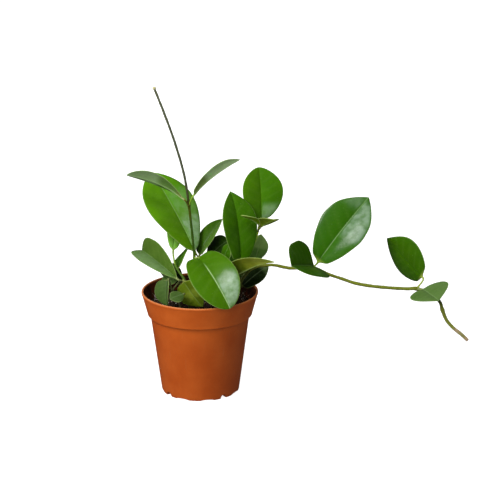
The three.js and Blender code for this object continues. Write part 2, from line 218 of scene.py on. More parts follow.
def closed_skin(rings: np.ndarray, first: np.ndarray | Point, last: np.ndarray | Point) -> Skin:
    """A tube through rings of corners, closed at its ends.

    Args:
        rings: the corners, ring by ring.
        first: the vertex that closes the first ring.
        last: the vertex that closes the last ring.

    Returns:
        The skin, with those two vertices after all the corners.
    """
    count, corners = rings.shape[:2]
    body = rings.reshape(-1, 3)
    faces = ring_faces(count, corners)
    for start, centre, order in ((0, len(body), -1), (len(body) - corners, len(body) + 1, 1)):
        for corner in range(corners):
            pair = (start + corner, start + (corner + 1) % corners)
            faces.append((*pair[::order], centre))
    return Skin(np.vstack([body, first, last]), faces)


def joined(parts: list[Skin]) -> Skin:
    """Several skins as one.

    Args:
        parts: the skins, without painted values.

    Returns:
        The one skin.
    """
    faces, offset = [], 0
    for part in parts:
        faces += [tuple(index + offset for index in face) for face in part.faces]
        offset += len(part.vertices)
    return Skin(np.vstack([part.vertices for part in parts]), faces)


def circle(radius: float, height: float, corners: int) -> np.ndarray:
    """A level ring of corners about the pot's axis."""
    turns = np.linspace(0, FULL_TURN, corners, endpoint=False)
    return np.stack([radius * np.cos(turns), radius * np.sin(turns), height + 0 * turns], axis=-1)


def settle(piece: Thing, finish: Material, slot: str, *nodes: str) -> None:
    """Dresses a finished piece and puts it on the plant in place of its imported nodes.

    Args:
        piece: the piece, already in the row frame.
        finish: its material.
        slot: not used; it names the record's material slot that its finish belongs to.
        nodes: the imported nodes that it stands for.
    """
    piece.data.materials.append(finish)
    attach(piece, BODY)
    if nodes:
        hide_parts(*nodes)
    log.info("%s: %d faces on %s", piece.name, len(piece.data.polygons), BODY)


def seat(piece: Thing, node: str) -> None:
    """Moves a piece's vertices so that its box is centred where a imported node's box is.

    Args:
        piece: the piece.
        node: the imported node.
    """
    low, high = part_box(node)
    places = np.empty(len(piece.data.vertices) * 3, dtype=np.float32)
    piece.data.vertices.foreach_get("co", places)
    places = places.reshape(-1, 3)
    middle = (places.min(axis=0) + places.max(axis=0)) / 2
    places += np.array((low + high) / 2, dtype=np.float32) - middle
    piece.data.vertices.foreach_set("co", places.ravel())
    piece.data.update()


# ---- finishes -----------------------------------------------------------------------------


class Bench:
    """A material under construction: its base colour so far, and a method for each pattern."""

    def __init__(self, name: str, base: Value = (1.0, 1.0, 1.0)) -> None:
        """Starts a material with one Principled shader.

        Args:
            name: the material's name.
            base: the colour that the first coat goes over.
        """
        self.material = bpy.data.materials.new(name)
        self.material.use_nodes = True
        self.tree = self.material.node_tree
        self.shader = next(n for n in self.tree.nodes if n.type == "BSDF_PRINCIPLED")
        self.base = base

    def feed(self, socket: Socket, value: Value) -> None:
        """Links a socket to another, or sets it to a plain number or colour.

        Args:
            socket: the input.
            value: what goes into it.
        """
        if isinstance(value, Socket):
            self.tree.links.new(value, socket)
        elif isinstance(value, tuple) and len(socket.default_value) == 4:
            socket.default_value = (*value, 1.0)
        else:
            socket.default_value = value

    def node(
        self, kind: str, output: str | int, inputs: dict[str | int, Value], **settings: str
    ) -> Socket:
        """Adds a node.

        Args:
            kind: its kind, as Blender names it after ShaderNode.
            output: the output that is wanted, by name or number.
            inputs: what goes into its inputs, by name or number.
            settings: its own settings.

        Returns:
            The output.
        """
        node = self.tree.nodes.new(f"ShaderNode{kind}")
        for key, value in settings.items():
            setattr(node, key, value)
        for key, value in inputs.items():
            self.feed(node.inputs[key], value)
        return node.outputs[output]

    def place(self) -> Socket:
        """The point on the piece, in metres."""
        return self.node("TexCoord", "Object", {})

    def rise(self) -> Socket:
        """The height on the piece, in metres."""
        return self.node("SeparateXYZ", "Z", {0: self.place()})

    def painted(self, name: str, output: str = "Fac") -> Socket:
        """A number painted on the mesh, or a colour where output is Color."""
        return self.node("Attribute", output, {}, attribute_name=name)

    def stretched(self, scale: Point) -> Socket:
        """The point on the piece, scaled along each axis to stretch a pattern."""
        return self.node("Mapping", "Vector", {"Vector": self.place(), "Scale": scale})

    def step(self, value: Value, *numbers: float) -> Socket:
        """A soft step over numbers: a low and a high value, then what to start and stop at."""
        inputs = dict(enumerate((value, *numbers)))
        return self.node("MapRange", "Result", inputs, interpolation_type="SMOOTHSTEP")

    def cloud(self, size: float, detail: float, place: Socket | None = None) -> Socket:
        """Cloudy noise from 0 to 1.

        Args:
            size: the width of a typical patch, in millimetres.
            detail: octaves of finer noise.
            place: the point to read it at, if not the point on the piece.

        Returns:
            The noise.
        """
        scale = 1 / (size * MILLIMETRE)
        inputs = {"Vector": place or self.place(), "Scale": scale, "Detail": detail}
        return self.node("TexNoise", 0, inputs)

    def patches(self, size: float, detail: float, *numbers: float) -> Socket:
        """Soft patches: cloudy noise of a size and detail, through a soft step over numbers."""
        return self.step(self.cloud(size, detail), *numbers)

    def dots(self, size: float, full: float, gone: float) -> Socket:
        """Scattered round dots.

        Args:
            size: the usual distance between dots, in millimetres.
            full: as far out as a dot is solid, as a share of that.
            gone: as far out as it reaches.

        Returns:
            1 in a dot and 0 between dots.
        """
        inputs = {"Vector": self.place(), "Scale": 1 / (size * MILLIMETRE)}
        return self.step(self.node("TexVoronoi", "Distance", inputs), full, gone, 1.0, 0.0)

    def sum(self, first: Value, second: Value, scale: float) -> Socket:
        """first + second * scale."""
        return self.node("Math", 0, {0: second, 1: scale, 2: first}, operation="MULTIPLY_ADD")

    def product(self, first: Value, *others: Value) -> Value:
        """Numbers multiplied together.

        Args:
            first, others: the numbers, in their order.

        Returns:
            The product, which is first itself where there are no others.
        """
        for other in others:
            first = self.node("Math", 0, {0: first, 1: other}, operation="MULTIPLY")
        return first

    def coat(self, colour: Value, *shares: Value, blend: str = "MIX") -> None:
        """Lays a colour over the base, as strongly as its shares multiplied together."""
        inputs = {0: self.product(*shares), 6: self.base, 7: colour}
        self.base = self.node("Mix", 2, inputs, data_type="RGBA", blend_type=blend)

    def tint(self, colour: Colour, *shares: Value) -> None:
        """Multiplies the base by a colour, as strongly as its shares multiplied together."""
        self.coat(colour, *shares, blend="MULTIPLY")

    def relief(self, height: Value, depth: float) -> None:
        """Gives the surface fine relief from a pattern, as deep as depth in millimetres."""
        inputs = {"Distance": depth * MILLIMETRE, "Height": height}
        self.feed(self.shader.inputs["Normal"], self.node("Bump", "Normal", inputs))

    def done(self, **sockets: Value) -> Material:
        """Feeds the shader.

        Args:
            sockets: the shader's own sockets, named with underscores for spaces.

        Returns:
            The material.
        """
        for key, value in {"Base_Color": self.base, **sockets}.items():
            self.feed(self.shader.inputs[key.replace("_", " ")], value)
        return self.material


class Shine(Enum):
    """How waxy a leaf's skin is: roughness, clear wax over it, and the wax's roughness."""

    GLOSSY = (0.5, 0.34, 0.2)
    SATIN = (0.52, 0.2, 0.3)
    DULL = (0.64, 0.06, 0.4)


@dataclass(frozen=True)
class LeafFinish:
    """Waxy leaf flesh: the leaf's painted tint under veins, flecks, mottle and bloom.

    Its pale rib is partly a painted highlight on the fold, and its pale wax bloom is partly a painted
    sheen.
    """

    shine: Shine
    vein: Colour = paint(150, 178, 92)
    # The pale midrib, which on a sharp fold is partly a painted highlight.
    rib: Colour = paint(176, 206, 146)
    rim: Colour = paint(176, 196, 120)
    # Pale wax bloom, laid where the leaves show a whitish reflection: partly painted sheen.
    bloom: Colour = paint(186, 205, 188)
    fleck: Colour = paint(168, 190, 140)

    def material(self) -> Material:
        """Builds the material.

        Returns:
            A material that reads the values painted on a leaf's mesh.
        """
        bench = Bench(f"leaf_{self.shine.name.lower()}")
        bench.base = bench.painted("tint", "Color")
        bench.tint((0.72, 0.8, 0.6), bench.patches(13, 2.0, 0.35, 0.7), 0.5)
        bench.tint((1.22, 1.12, 1.2), bench.patches(1.6, 4.0, 0.42, 0.68), 0.35)
        bench.coat(self.vein, bench.painted("vein"), 0.04)
        # Pale midrib: the rib's own colour, and partly a painted highlight along the fold.
        bench.coat(self.rib, bench.painted("rib"))
        # The bloom, mottled: pale wax, and partly a painted sheen of the light.
        sheen_mottle = bench.patches(5.5, 4.0, 0.3, 0.66, 0.4, 1.0)
        bench.coat(self.bloom, bench.painted("bloom"), sheen_mottle)
        flecks = bench.product(bench.dots(2.3, 0.05, 0.13), bench.patches(9, 2.0, 0.52, 0.66))
        bench.coat(self.fleck, flecks, bench.painted("speckle"))
        bench.coat(self.rim, bench.painted("rim"), 0.6)
        grain = bench.product(bench.cloud(4.2, 3.0), 0.9)
        bench.relief(bench.sum(grain, bench.cloud(0.5, 2.0), 0.1), 0.24)
        roughness, wax, wax_roughness = self.shine.value
        return bench.done(
            Roughness=bench.sum(roughness - 0.08, bench.cloud(6, 3.0), 0.16),
            IOR=1.45,
            Specular_IOR_Level=0.1,
            Coat_Weight=wax,
            Coat_Roughness=wax_roughness,
            Coat_IOR=1.45,
            Subsurface_Weight=0.08,
            Subsurface_Radius=(0.002, 0.004, 0.001),
            Subsurface_Scale=0.5,
        )


@dataclass(frozen=True)
class StemFinish:
    """Thin fibrous bark over the stem's painted tint."""

    streak: Colour = paint(84, 88, 44)
    scar: Colour = paint(168, 150, 112)

    def material(self) -> Material:
        """Builds the material.

        Returns:
            Bark with streaks and corky dots.
        """
        bench = Bench("stem_bark")
        bench.base = bench.painted("tint", "Color")
        bench.coat(self.streak, bench.patches(0.9, 4.0, 0.4, 0.72), 0.25)
        scars = bench.dots(1.5, 0.08, 0.22)
        bench.coat(self.scar, scars, 0.3)
        bench.tint((0.75, 0.72, 0.66), bench.patches(7, 2.0, 0.5, 0.7), 0.6)
        bench.relief(bench.sum(bench.cloud(0.7, 3.0), scars, 0.4), 0.12)
        roughness = bench.sum(0.5, bench.cloud(1.2, 2.0), 0.25)
        return bench.done(Roughness=roughness, IOR=1.4, Specular_IOR_Level=0.2)


@dataclass(frozen=True)
class FibreFinish:
    """Fine hairs, roots and fibres, with a slight sheen."""

    name: str
    light: Colour
    dark: Colour

    def material(self) -> Material:
        """Builds the material.

        Returns:
            Fibre that is lighter and darker along its length.
        """
        bench = Bench(self.name, self.dark)
        bench.coat(self.light, bench.patches(1.5, 3.0, 0.35, 0.65))
        bench.relief(bench.cloud(0.3, 2.0), 0.03)
        return bench.done(Roughness=0.7, Sheen_Weight=0.2)


@dataclass(frozen=True)
class TerracottaPlastic:
    """Moulded orange plastic, scuffed outside, and darkened inside by soil stain and painted shade."""

    body: Colour = paint(196, 93, 28)
    deep: Colour = paint(184, 81, 18)
    edge: Colour = paint(188, 132, 86)
    # Dark inside: soil stain, and painted shade of the inner wall.
    stain_and_shade: Colour = paint(48, 22, 9)
    dust: Colour = paint(168, 142, 120)

    def material(self) -> Material:
        """Builds the material.

        Returns:
            Plastic that reads the values painted on the pot's mesh.
        """
        bench = Bench("terracotta_plastic", self.body)
        bench.coat(self.deep, bench.patches(26, 3.0, 0.3, 0.7))
        bench.tint((1.12, 1.1, 1.08), bench.patches(3.0, 4.0, 0.4, 0.65), 0.2)
        bench.tint((0.85, 0.81, 0.82), bench.step(bench.rise(), 0.055, 0.076, 1.0, 0.0))
        scuffs = bench.step(bench.cloud(2.2, 5.0, bench.stretched((1, 1, 0.12))), 0.64, 0.72)
        bench.coat(self.edge, scuffs, 0.08)
        bench.coat(self.edge, bench.painted("edge"), 0.55)
        # The inner wall darkened in patches: soil stain, and painted shade of the shadowed inner wall.
        inside = bench.painted("inside")
        bench.coat(self.stain_and_shade, inside, bench.patches(8, 4.0, 0.2, 0.6, 0.75, 1.0))
        specks = bench.product(bench.dots(1.3, 0.06, 0.16), bench.patches(4, 2.0, 0.5, 0.62))
        bench.coat(self.dust, specks, inside)
        bench.relief(bench.sum(bench.cloud(0.8, 3.0), bench.cloud(6, 2.0), 0.6), 0.07)
        roughness = bench.sum(0.36, bench.cloud(4, 4.0), 0.22)
        return bench.done(Roughness=roughness, IOR=1.46, Specular_IOR_Level=0.3)


@dataclass(frozen=True)
class CrumbFinish:
    """Damp potting mix: near-black peat with lighter bits in it."""

    name: str
    dark: Colour
    light: Colour
    bits: Colour

    def material(self) -> Material:
        """Builds the material.

        Returns:
            A rough and uneven material.
        """
        bench = Bench(self.name, self.dark)
        bench.coat(self.light, bench.patches(2.4, 5.0, 0.35, 0.68))
        bench.coat(self.bits, bench.dots(0.9, 0.08, 0.2), bench.patches(3, 2.0, 0.55, 0.63))
        bench.relief(bench.sum(bench.cloud(1.1, 5.0), bench.cloud(0.4, 3.0), 0.5), 0.5)
        return bench.done(Roughness=bench.sum(0.75, bench.cloud(3, 2.0), 0.2), IOR=1.4)


class Finishes:
    """Every finish on the plant, each built once."""

    def __init__(self) -> None:
        """Builds the materials."""
        hair = FibreFinish("stem_hair", paint(150, 146, 112), paint(96, 90, 62))
        root = FibreFinish("pale_root", paint(214, 208, 194), paint(150, 138, 118))
        peat = CrumbFinish("peat", paint(24, 15, 10), paint(58, 38, 25), paint(120, 92, 66))
        bark = CrumbFinish("bark_chip", paint(44, 26, 16), paint(98, 62, 38), paint(140, 104, 72))
        perlite = CrumbFinish(
            "perlite", paint(206, 202, 192), paint(236, 234, 228), paint(150, 140, 124)
        )
        self.leaves = {shine: LeafFinish(shine).material() for shine in Shine}
        self.stem = StemFinish().material()
        self.hair = hair.material()
        self.root = root.material()
        self.pot = TerracottaPlastic().material()
        self.peat = peat.material()
        self.bark = bark.material()
        self.perlite = perlite.material()


# ---- the pot ------------------------------------------------------------------------------


@dataclass
class Pot:
    """The tapered nursery pot: collar, rounded lip, foot ring, drain notches and reliefs."""

    collar_height: float = 21.5
    collar_foot_radius: float = 47.9
    wall_top_radius: float = 45.6
    base_radius: float = 35.6
    wall: float = 1.2
    lip_height: float = 2.3
    lip_step: float = 0.5
    floor_lift: float = 1.5
    pad_radius: float = 12.0
    ring_width: float = 5.0
    segments: int = 192
    drain_turn: float = 37.5
    notch: Point = (6.8, 4.0, 6.0)
    relief: Point = (12.5, 1.3, 7.0)
    relief_turn: float = 26.0
    rim_radius: float = field(init=False)
    height: float = field(init=False)

    LONGEST_RUN = 3.0
    ARCH_STEPS = 12
    ARCH_MARGIN = 2.0
    SHARP_ANGLE = math.radians(38)

    def __post_init__(self) -> None:
        """Reads the pot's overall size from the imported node."""
        low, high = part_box("pot")
        self.rim_radius = (high.x - low.x) / 2 / MILLIMETRE
        self.height = (high.z - low.z) / MILLIMETRE

    def profile(self) -> list[tuple[float, float]]:
        """The wall's section.

        Returns:
            Its corners, as radius and height, from the base round to the floor inside.
        """
        bottom = self.height - self.collar_height
        rim, foot, top = self.rim_radius, self.collar_foot_radius, self.wall_top_radius
        base, pad, wall = self.base_radius, self.pad_radius, self.wall
        collar_top = rim - self.lip_step
        lip = self.height - self.lip_height
        ring = base - self.ring_width
        inner_floor = self.floor_lift + wall
        inner_foot = base + (top - base) * 0.04 - wall
        underside = [(0, 0), (pad - 0.3, 0), (pad, 0.15), (pad + 0.8, self.floor_lift)]
        underside += [(ring - 0.8, self.floor_lift), (ring - 0.2, 0.2), (ring + 0.3, 0)]
        underside += [(base - 0.6, 0), (base - 0.15, 0.15), (base + 0.05, 0.6)]
        step = [(top - 1.0, bottom - 6), (top - 0.05, bottom - 0.5), (top + 0.35, bottom - 0.05)]
        step += [(foot - 0.5, bottom + 0.1), (foot - 0.05, bottom + 0.5), (foot + 0.15, bottom + 1.6)]
        edge = [(collar_top - 0.1, lip - 0.7), (collar_top + 0.15, lip - 0.05), (rim - 0.2, lip + 0.3)]
        edge += [(rim, lip + 0.7), (rim, self.height - 0.7), (rim - 0.15, self.height - 0.25)]
        edge += [(rim - 0.5, self.height), (collar_top - wall + 0.35, self.height)]
        inside = [(collar_top - wall, self.height - 0.3), (collar_top - wall - 0.05, lip)]
        inside += [(foot - wall, bottom + wall + 0.6), (foot - wall - 0.6, bottom + wall)]
        inside += [(top - wall, bottom + wall - 0.4), (inner_foot, inner_floor + 0.8)]
        return underside + step + edge + inside + [(inner_foot - 0.8, inner_floor), (0, inner_floor)]

    def refined(self) -> np.ndarray:
        """Divides the section's long runs, so that it holds shading and relief.

        Returns:
            The section's corners.
        """
        points = [np.array(point, dtype=float) for point in self.profile()]
        fine = [points[0]]
        for start, stop in zip(points, points[1:]):
            pieces = max(1, round(np.linalg.norm(stop - start) / self.LONGEST_RUN))
            fine += [start + (stop - start) * (step + 1) / pieces for step in range(pieces)]
        return np.array(fine)

    def turned(self) -> Skin:
        """Turns the section about the pot's axis.

        Returns:
            The closed wall, with its painted values.
        """
        section = self.refined()
        inner = section[1:-1]
        rings = np.array([circle(radius, height, self.segments) for radius, height in inner])
        skin = closed_skin(rings, (0, 0, section[0][1]), (0, 0, section[-1][1]))
        crest = int(np.argmax(inner[:, 1] >= self.height - 1e-6))
        past = np.repeat(np.arange(len(inner)) > crest, self.segments)
        edge = smooth_step(skin.vertices[:, 2], self.height - 0.9, self.height - 0.2)
        skin.values = {"inside": np.append(past, [False, True]) * (1 - edge), "edge": edge}
        return skin.outward()

    def arch(self, size: Point, turn: float) -> Skin:
        """A round-topped block that cuts into the foot of the wall.

        Args:
            size: its width, height and how deep it cuts.
            turn: its direction, in degrees from -Y towards +X.

        Returns:
            The block.
        """
        width, height, depth = size
        angles = np.linspace(0, math.pi, self.ARCH_STEPS + 1)
        outline = [(width / 2 * math.cos(a), height * math.sin(a)) for a in angles]
        outline += [(-width / 2, -self.ARCH_MARGIN), (width / 2, -self.ARCH_MARGIN)]
        near, far = self.base_radius - depth, self.base_radius + self.ARCH_MARGIN
        block = np.array([(x, -reach, z) for reach in (near, far) for x, z in outline])
        count = len(outline)
        faces = ring_faces(2, count)
        faces += [tuple(range(count)), tuple(reversed(range(count, 2 * count)))]
        return Skin(block @ rotation("Z", math.radians(turn)).T, faces)

    def cutter(self) -> Skin:
        """All the notches and reliefs round the foot.

        Returns:
            One skin to cut the pot with.
        """
        cuts = ((self.notch, 0), (self.relief, -self.relief_turn), (self.relief, self.relief_turn))
        turns = [self.drain_turn + 90 * quarter for quarter in range(4)]
        blocks = [self.arch(size, turn + aside) for turn in turns for size, aside in cuts]
        return joined(blocks).outward()

    def build(self, finishes: Finishes) -> None:
        """Makes the pot and cuts its foot.

        Args:
            finishes: the plant's finishes.
        """
        pot = self.turned().build("nursery_pot")
        cutter = self.cutter().build("foot_cutter")
        cut = pot.modifiers.new("foot", "BOOLEAN")
        cut.operation = "DIFFERENCE"
        cut.solver = "EXACT"
        cut.object = cutter
        graph = bpy.context.evaluated_depsgraph_get()
        mesh = bpy.data.meshes.new_from_object(pot.evaluated_get(graph))
        pot.modifiers.clear()
        pot.data = mesh
        bpy.data.objects.remove(cutter)
        mesh.materials.clear()
        mesh.set_sharp_from_angle(angle=self.SHARP_ANGLE)
        settle(pot, finishes.pot, "pot", "pot")


# ---- the potting mix ----------------------------------------------------------------------


@dataclass
class PottingMix:
    """The soil: a lumpy bed with crumbs, bark chips, white grains and root fibres on it."""

    pot: Pot
    edge_height: float = 80.6
    crown_height: float = 82.6
    clearance: float = 0.5
    rings: int = 60
    spokes: int = 180
    loose_roots: int = 34
    root_radius: float = 0.16

    # How high the bed's unevenness is and how wide its waves are, from coarse to fine.
    WAVES = ((0.75, 17.0), (0.45, 6.5), (0.3, 2.6))
    WAVE_SEED = 11
    ROOT_SEED = 29

    # Roots that stand up near the rim: their bearings in degrees and how far they lean.
    RIM_ROOTS = (
        (154, 2.5), (157, -2.0), (160, 3.0), (198, 3.0), (222, 2.0), (262, -2.5),
        (331, -2.0), (20, 3.0), (26, -3.5), (31, 2.0), (36, -2.5),
    )

    def bed_radius(self) -> float:
        """Works out how wide the bed is.

        Returns:
            Its radius at its surface, just inside the collar.
        """
        pot = self.pot
        bottom = pot.height - pot.collar_height
        share = (self.edge_height - bottom) / (pot.collar_height - pot.lip_height)
        foot, top = pot.collar_foot_radius, pot.rim_radius - pot.lip_step
        return foot + (top - foot) * share - pot.wall - self.clearance

    def surface(self, x: np.ndarray, y: np.ndarray) -> np.ndarray:
        """The height of the bed's surface.

        Args:
            x, y: places on it.

        Returns:
            One height a place.
        """
        reach = np.hypot(x, y) / self.bed_radius()
        dome = self.crown_height + (self.edge_height - self.crown_height) * reach**2
        places = np.stack([x, y, 0 * x], axis=-1)
        waves = enumerate(self.WAVES, self.WAVE_SEED)
        lumps = sum(height * Ripple(seed).at(places, size) for seed, (height, size) in waves)
        return dome + lumps * (1 - 0.5 * reach**4)

    def ground(self, x: float, y: float) -> float:
        """The height of the bed's surface at one place."""
        return float(self.surface(np.array([x]), np.array([y]))[0])

    def bed(self) -> Skin:
        """The bed from its surface down to the pot's floor.

        Returns:
            Its closed skin.
        """
        pot, inside = self.pot, self.pot.wall + self.clearance
        rings = []
        for share in np.linspace(0, 1, self.rings + 1)[1:]:
            ring = circle(self.bed_radius() * share, 0, self.spokes)
            ring[:, 2] = self.surface(ring[:, 0], ring[:, 1])
            rings.append(ring)
        bottom = pot.height - pot.collar_height + pot.wall + self.clearance
        floor = pot.floor_lift + pot.wall + self.clearance
        rings.append(circle(pot.collar_foot_radius - inside - 0.4, bottom, self.spokes))
        rings.append(circle(pot.wall_top_radius - inside, bottom - 0.6, self.spokes))
        rings.append(circle(pot.base_radius - inside, floor, self.spokes))
        return closed_skin(np.array(rings), (0, 0, self.ground(0, 0)), (0, 0, floor)).outward()

    def scattered(self, count: int, random: np.random.Generator) -> tuple[np.ndarray, np.ndarray]:
        """Scatters places all over the bed, clear of its edge.

        Args:
            count: how many there are.
            random: where the draws come from.

        Returns:
            Their x and their y.
        """
        reach = (self.bed_radius() - 2.0) * np.sqrt(random.uniform(0, 1, count))
        turn = random.uniform(0, FULL_TURN, count)
        return reach * np.cos(turn), reach * np.sin(turn)

    def lumps(self, count: int, sizes: tuple[float, float], flat: float, seed: int) -> Skin:
        """Irregular crumbs that lie half sunk in the bed.

        Args:
            count: how many there are.
            sizes: the least and the greatest radius.
            flat: how flat they are, 1 for round.
            seed: fixes their shapes and places.

        Returns:
            All of them as one skin.
        """
        random = np.random.default_rng(seed)
        model = bmesh.new()
        bmesh.ops.create_icosphere(model, subdivisions=1, radius=1.0)
        ball = np.array([vertex.co[:] for vertex in model.verts])
        sides = [tuple(vertex.index for vertex in face.verts) for face in model.faces]
        model.free()
        x, y = self.scattered(count, random)
        parts = []
        for middle in zip(x, y, self.surface(x, y)):
            size = random.uniform(*sizes) * np.array([1.0, random.uniform(0.55, 0.95), flat])
            rough = ball * random.uniform(0.72, 1.2, (len(ball), 1)) * size
            yaw, pitch = random.uniform(0, FULL_TURN), random.uniform(-0.6, 0.6)
            turned = rough @ rotation("X", pitch).T @ rotation("Z", yaw).T
            parts.append(Skin(turned + middle, sides))
        return joined(parts)

    def fibres(self, routes: list[list[Point]]) -> Skin:
        """Thin curved threads.

        Args:
            routes: the way that each takes.

        Returns:
            All of them as one skin.
        """
        tubes = [Tube(np.array(route, dtype=float), step=0.7, sides=5) for route in routes]
        thin = self.root_radius * 0.4
        return joined([tube.skin(np.linspace(self.root_radius, thin, tube.count())) for tube in tubes])

    def loose_route(self, x: float, y: float, random: np.random.Generator) -> list[Point]:
        """A root that arches over the bed from a place on it.

        Args:
            x, y: the place.
            random: where the draws come from.

        Returns:
            The points of its curve.
        """
        turn = random.uniform(0, FULL_TURN)
        length, rise = random.uniform(3.5, 9.0), random.uniform(0.6, 2.6)
        limit = self.bed_radius() - 1.0
        route = []
        for share in (0.0, 0.33, 0.66, 1.0):
            bend = turn + 0.9 * share * random.uniform(-1, 1)
            px, py = x + length * share * math.cos(bend), y + length * share * math.sin(bend)
            reach = math.hypot(px, py)
            if reach > limit:
                px, py = px * limit / reach, py * limit / reach
            route.append((px, py, self.ground(px, py) + rise * math.sin(math.pi * share) + 0.15))
        return route

    def rim_route(self, bearing: float, lean: float) -> list[Point]:
        """A root that stands up near the rim.

        Args:
            bearing: where it stands, in degrees from +X.
            lean: how far its tip leans.

        Returns:
            The points of its curve.
        """
        angle, reach = math.radians(bearing), self.bed_radius() - 4
        x, y = reach * math.cos(angle), reach * math.sin(angle)
        ground = self.ground(x, y)
        return [
            (x, y, ground - 0.5),
            (x * 1.02, y * 1.02, ground + 2.2),
            (x * 1.04 + lean * 0.4, y * 1.03, ground + 4.0),
            (x * 1.04 + lean, y * 1.04, ground + 5.0),
        ]

    def build(self, finishes: Finishes) -> None:
        """Makes the bed and everything that lies on it.

        Args:
            finishes: the plant's finishes.
        """
        random = np.random.default_rng(self.ROOT_SEED)
        starts = zip(*self.scattered(self.loose_roots, random))
        routes = [self.loose_route(x, y, random) for x, y in starts]
        routes += [self.rim_route(*root) for root in self.RIM_ROOTS]
        settle(self.bed().build("soil_bed"), finishes.peat, "soil", "soil")
        layers = (
            ("soil_crumbs", self.lumps(1500, (0.4, 1.2), 0.75, seed=5), finishes.peat),
            ("bark_chips", self.lumps(260, (0.8, 2.2), 0.4, seed=6), finishes.bark),
            ("perlite_grains", self.lumps(26, (0.35, 0.95), 0.85, seed=7), finishes.perlite),
            ("root_fibres", self.fibres(routes), finishes.root),
        )
        for name, skin, finish in layers:
            settle(skin.build(name), finish, "soil")


# ---- stems --------------------------------------------------------------------------------


PLACES_PER_PIECE = 12


def smooth_route(points: np.ndarray) -> np.ndarray:
    """A smooth curve through points.

    Args:
        points: the points that it passes through.

    Returns:
        A dense line of places, both ends included.
    """
    full = np.vstack([2 * points[0] - points[1], points, 2 * points[-1] - points[-2]])
    places = []
    for index in range(1, len(full) - 2):
        a, b, c, d = full[index - 1 : index + 3]
        slope_in, slope_out = (c - a) / 2, (d - b) / 2
        for share in np.linspace(0, 1, PLACES_PER_PIECE, endpoint=False):
            cube, square = share**3, share**2
            leaving = b * (2 * cube - 3 * square + 1) + slope_in * (cube - 2 * square + share)
            places.append(leaving + c * (-2 * cube + 3 * square) + slope_out * (cube - square))
    places.append(full[-2])
    return np.array(places)


class Tube:
    """A tube of changing thickness along a smooth route."""

    def __init__(self, route: np.ndarray, step: float, sides: int) -> None:
        """Lays stations along the route.

        Args:
            route: the points that the tube's middle passes through.
            step: the distance between stations.
            sides: corners in each ring.
        """
        dense = smooth_route(route)
        lengths = np.append(0, np.cumsum(np.linalg.norm(np.diff(dense, axis=0), axis=1)))
        stations = np.linspace(0, lengths[-1], max(4, math.ceil(lengths[-1] / step) + 1))
        self.sides = sides
        self.reach = stations
        self.middle = np.stack([np.interp(stations, lengths, line) for line in dense.T], axis=-1)
        self.direction = unit(np.gradient(self.middle, axis=0))
        self.side, self.up = self.frames()

    def frames(self) -> tuple[np.ndarray, np.ndarray]:
        """Works out how each station stands, without twist along the route.

        Returns:
            Two directions square to the route at each station.
        """
        side = np.cross(self.direction[0], [0.0, 1.0, 0.0])
        if np.linalg.norm(side) < 0.2:
            side = np.cross(self.direction[0], [1.0, 0.0, 0.0])
        sides = []
        for direction in self.direction:
            side = unit(side - direction * (side @ direction))
            sides.append(side)
        return np.array(sides), np.cross(self.direction, np.array(sides))

    def count(self) -> int:
        """How many stations there are."""
        return len(self.reach)

    def around(self) -> np.ndarray:
        """Directions outwards, one for each corner of each ring."""
        turns = np.linspace(0, FULL_TURN, self.sides, endpoint=False)[:, None]
        return self.side[:, None, :] * np.cos(turns) + self.up[:, None, :] * np.sin(turns)

    def skin(self, radii: np.ndarray) -> Skin:
        """The tube's closed skin.

        Args:
            radii: one radius a station, or one a corner.

        Returns:
            The skin, with rounded-off ends.
        """
        if radii.ndim == 1:
            radii = np.repeat(radii[:, None], self.sides, axis=1)
        rings = self.middle[:, None, :] + self.around() * radii[..., None]
        bulge = radii.mean(axis=1) * 0.35
        first = self.middle[0] - self.direction[0] * bulge[0]
        last = self.middle[-1] + self.direction[-1] * bulge[-1]
        return closed_skin(rings, first, last).outward()


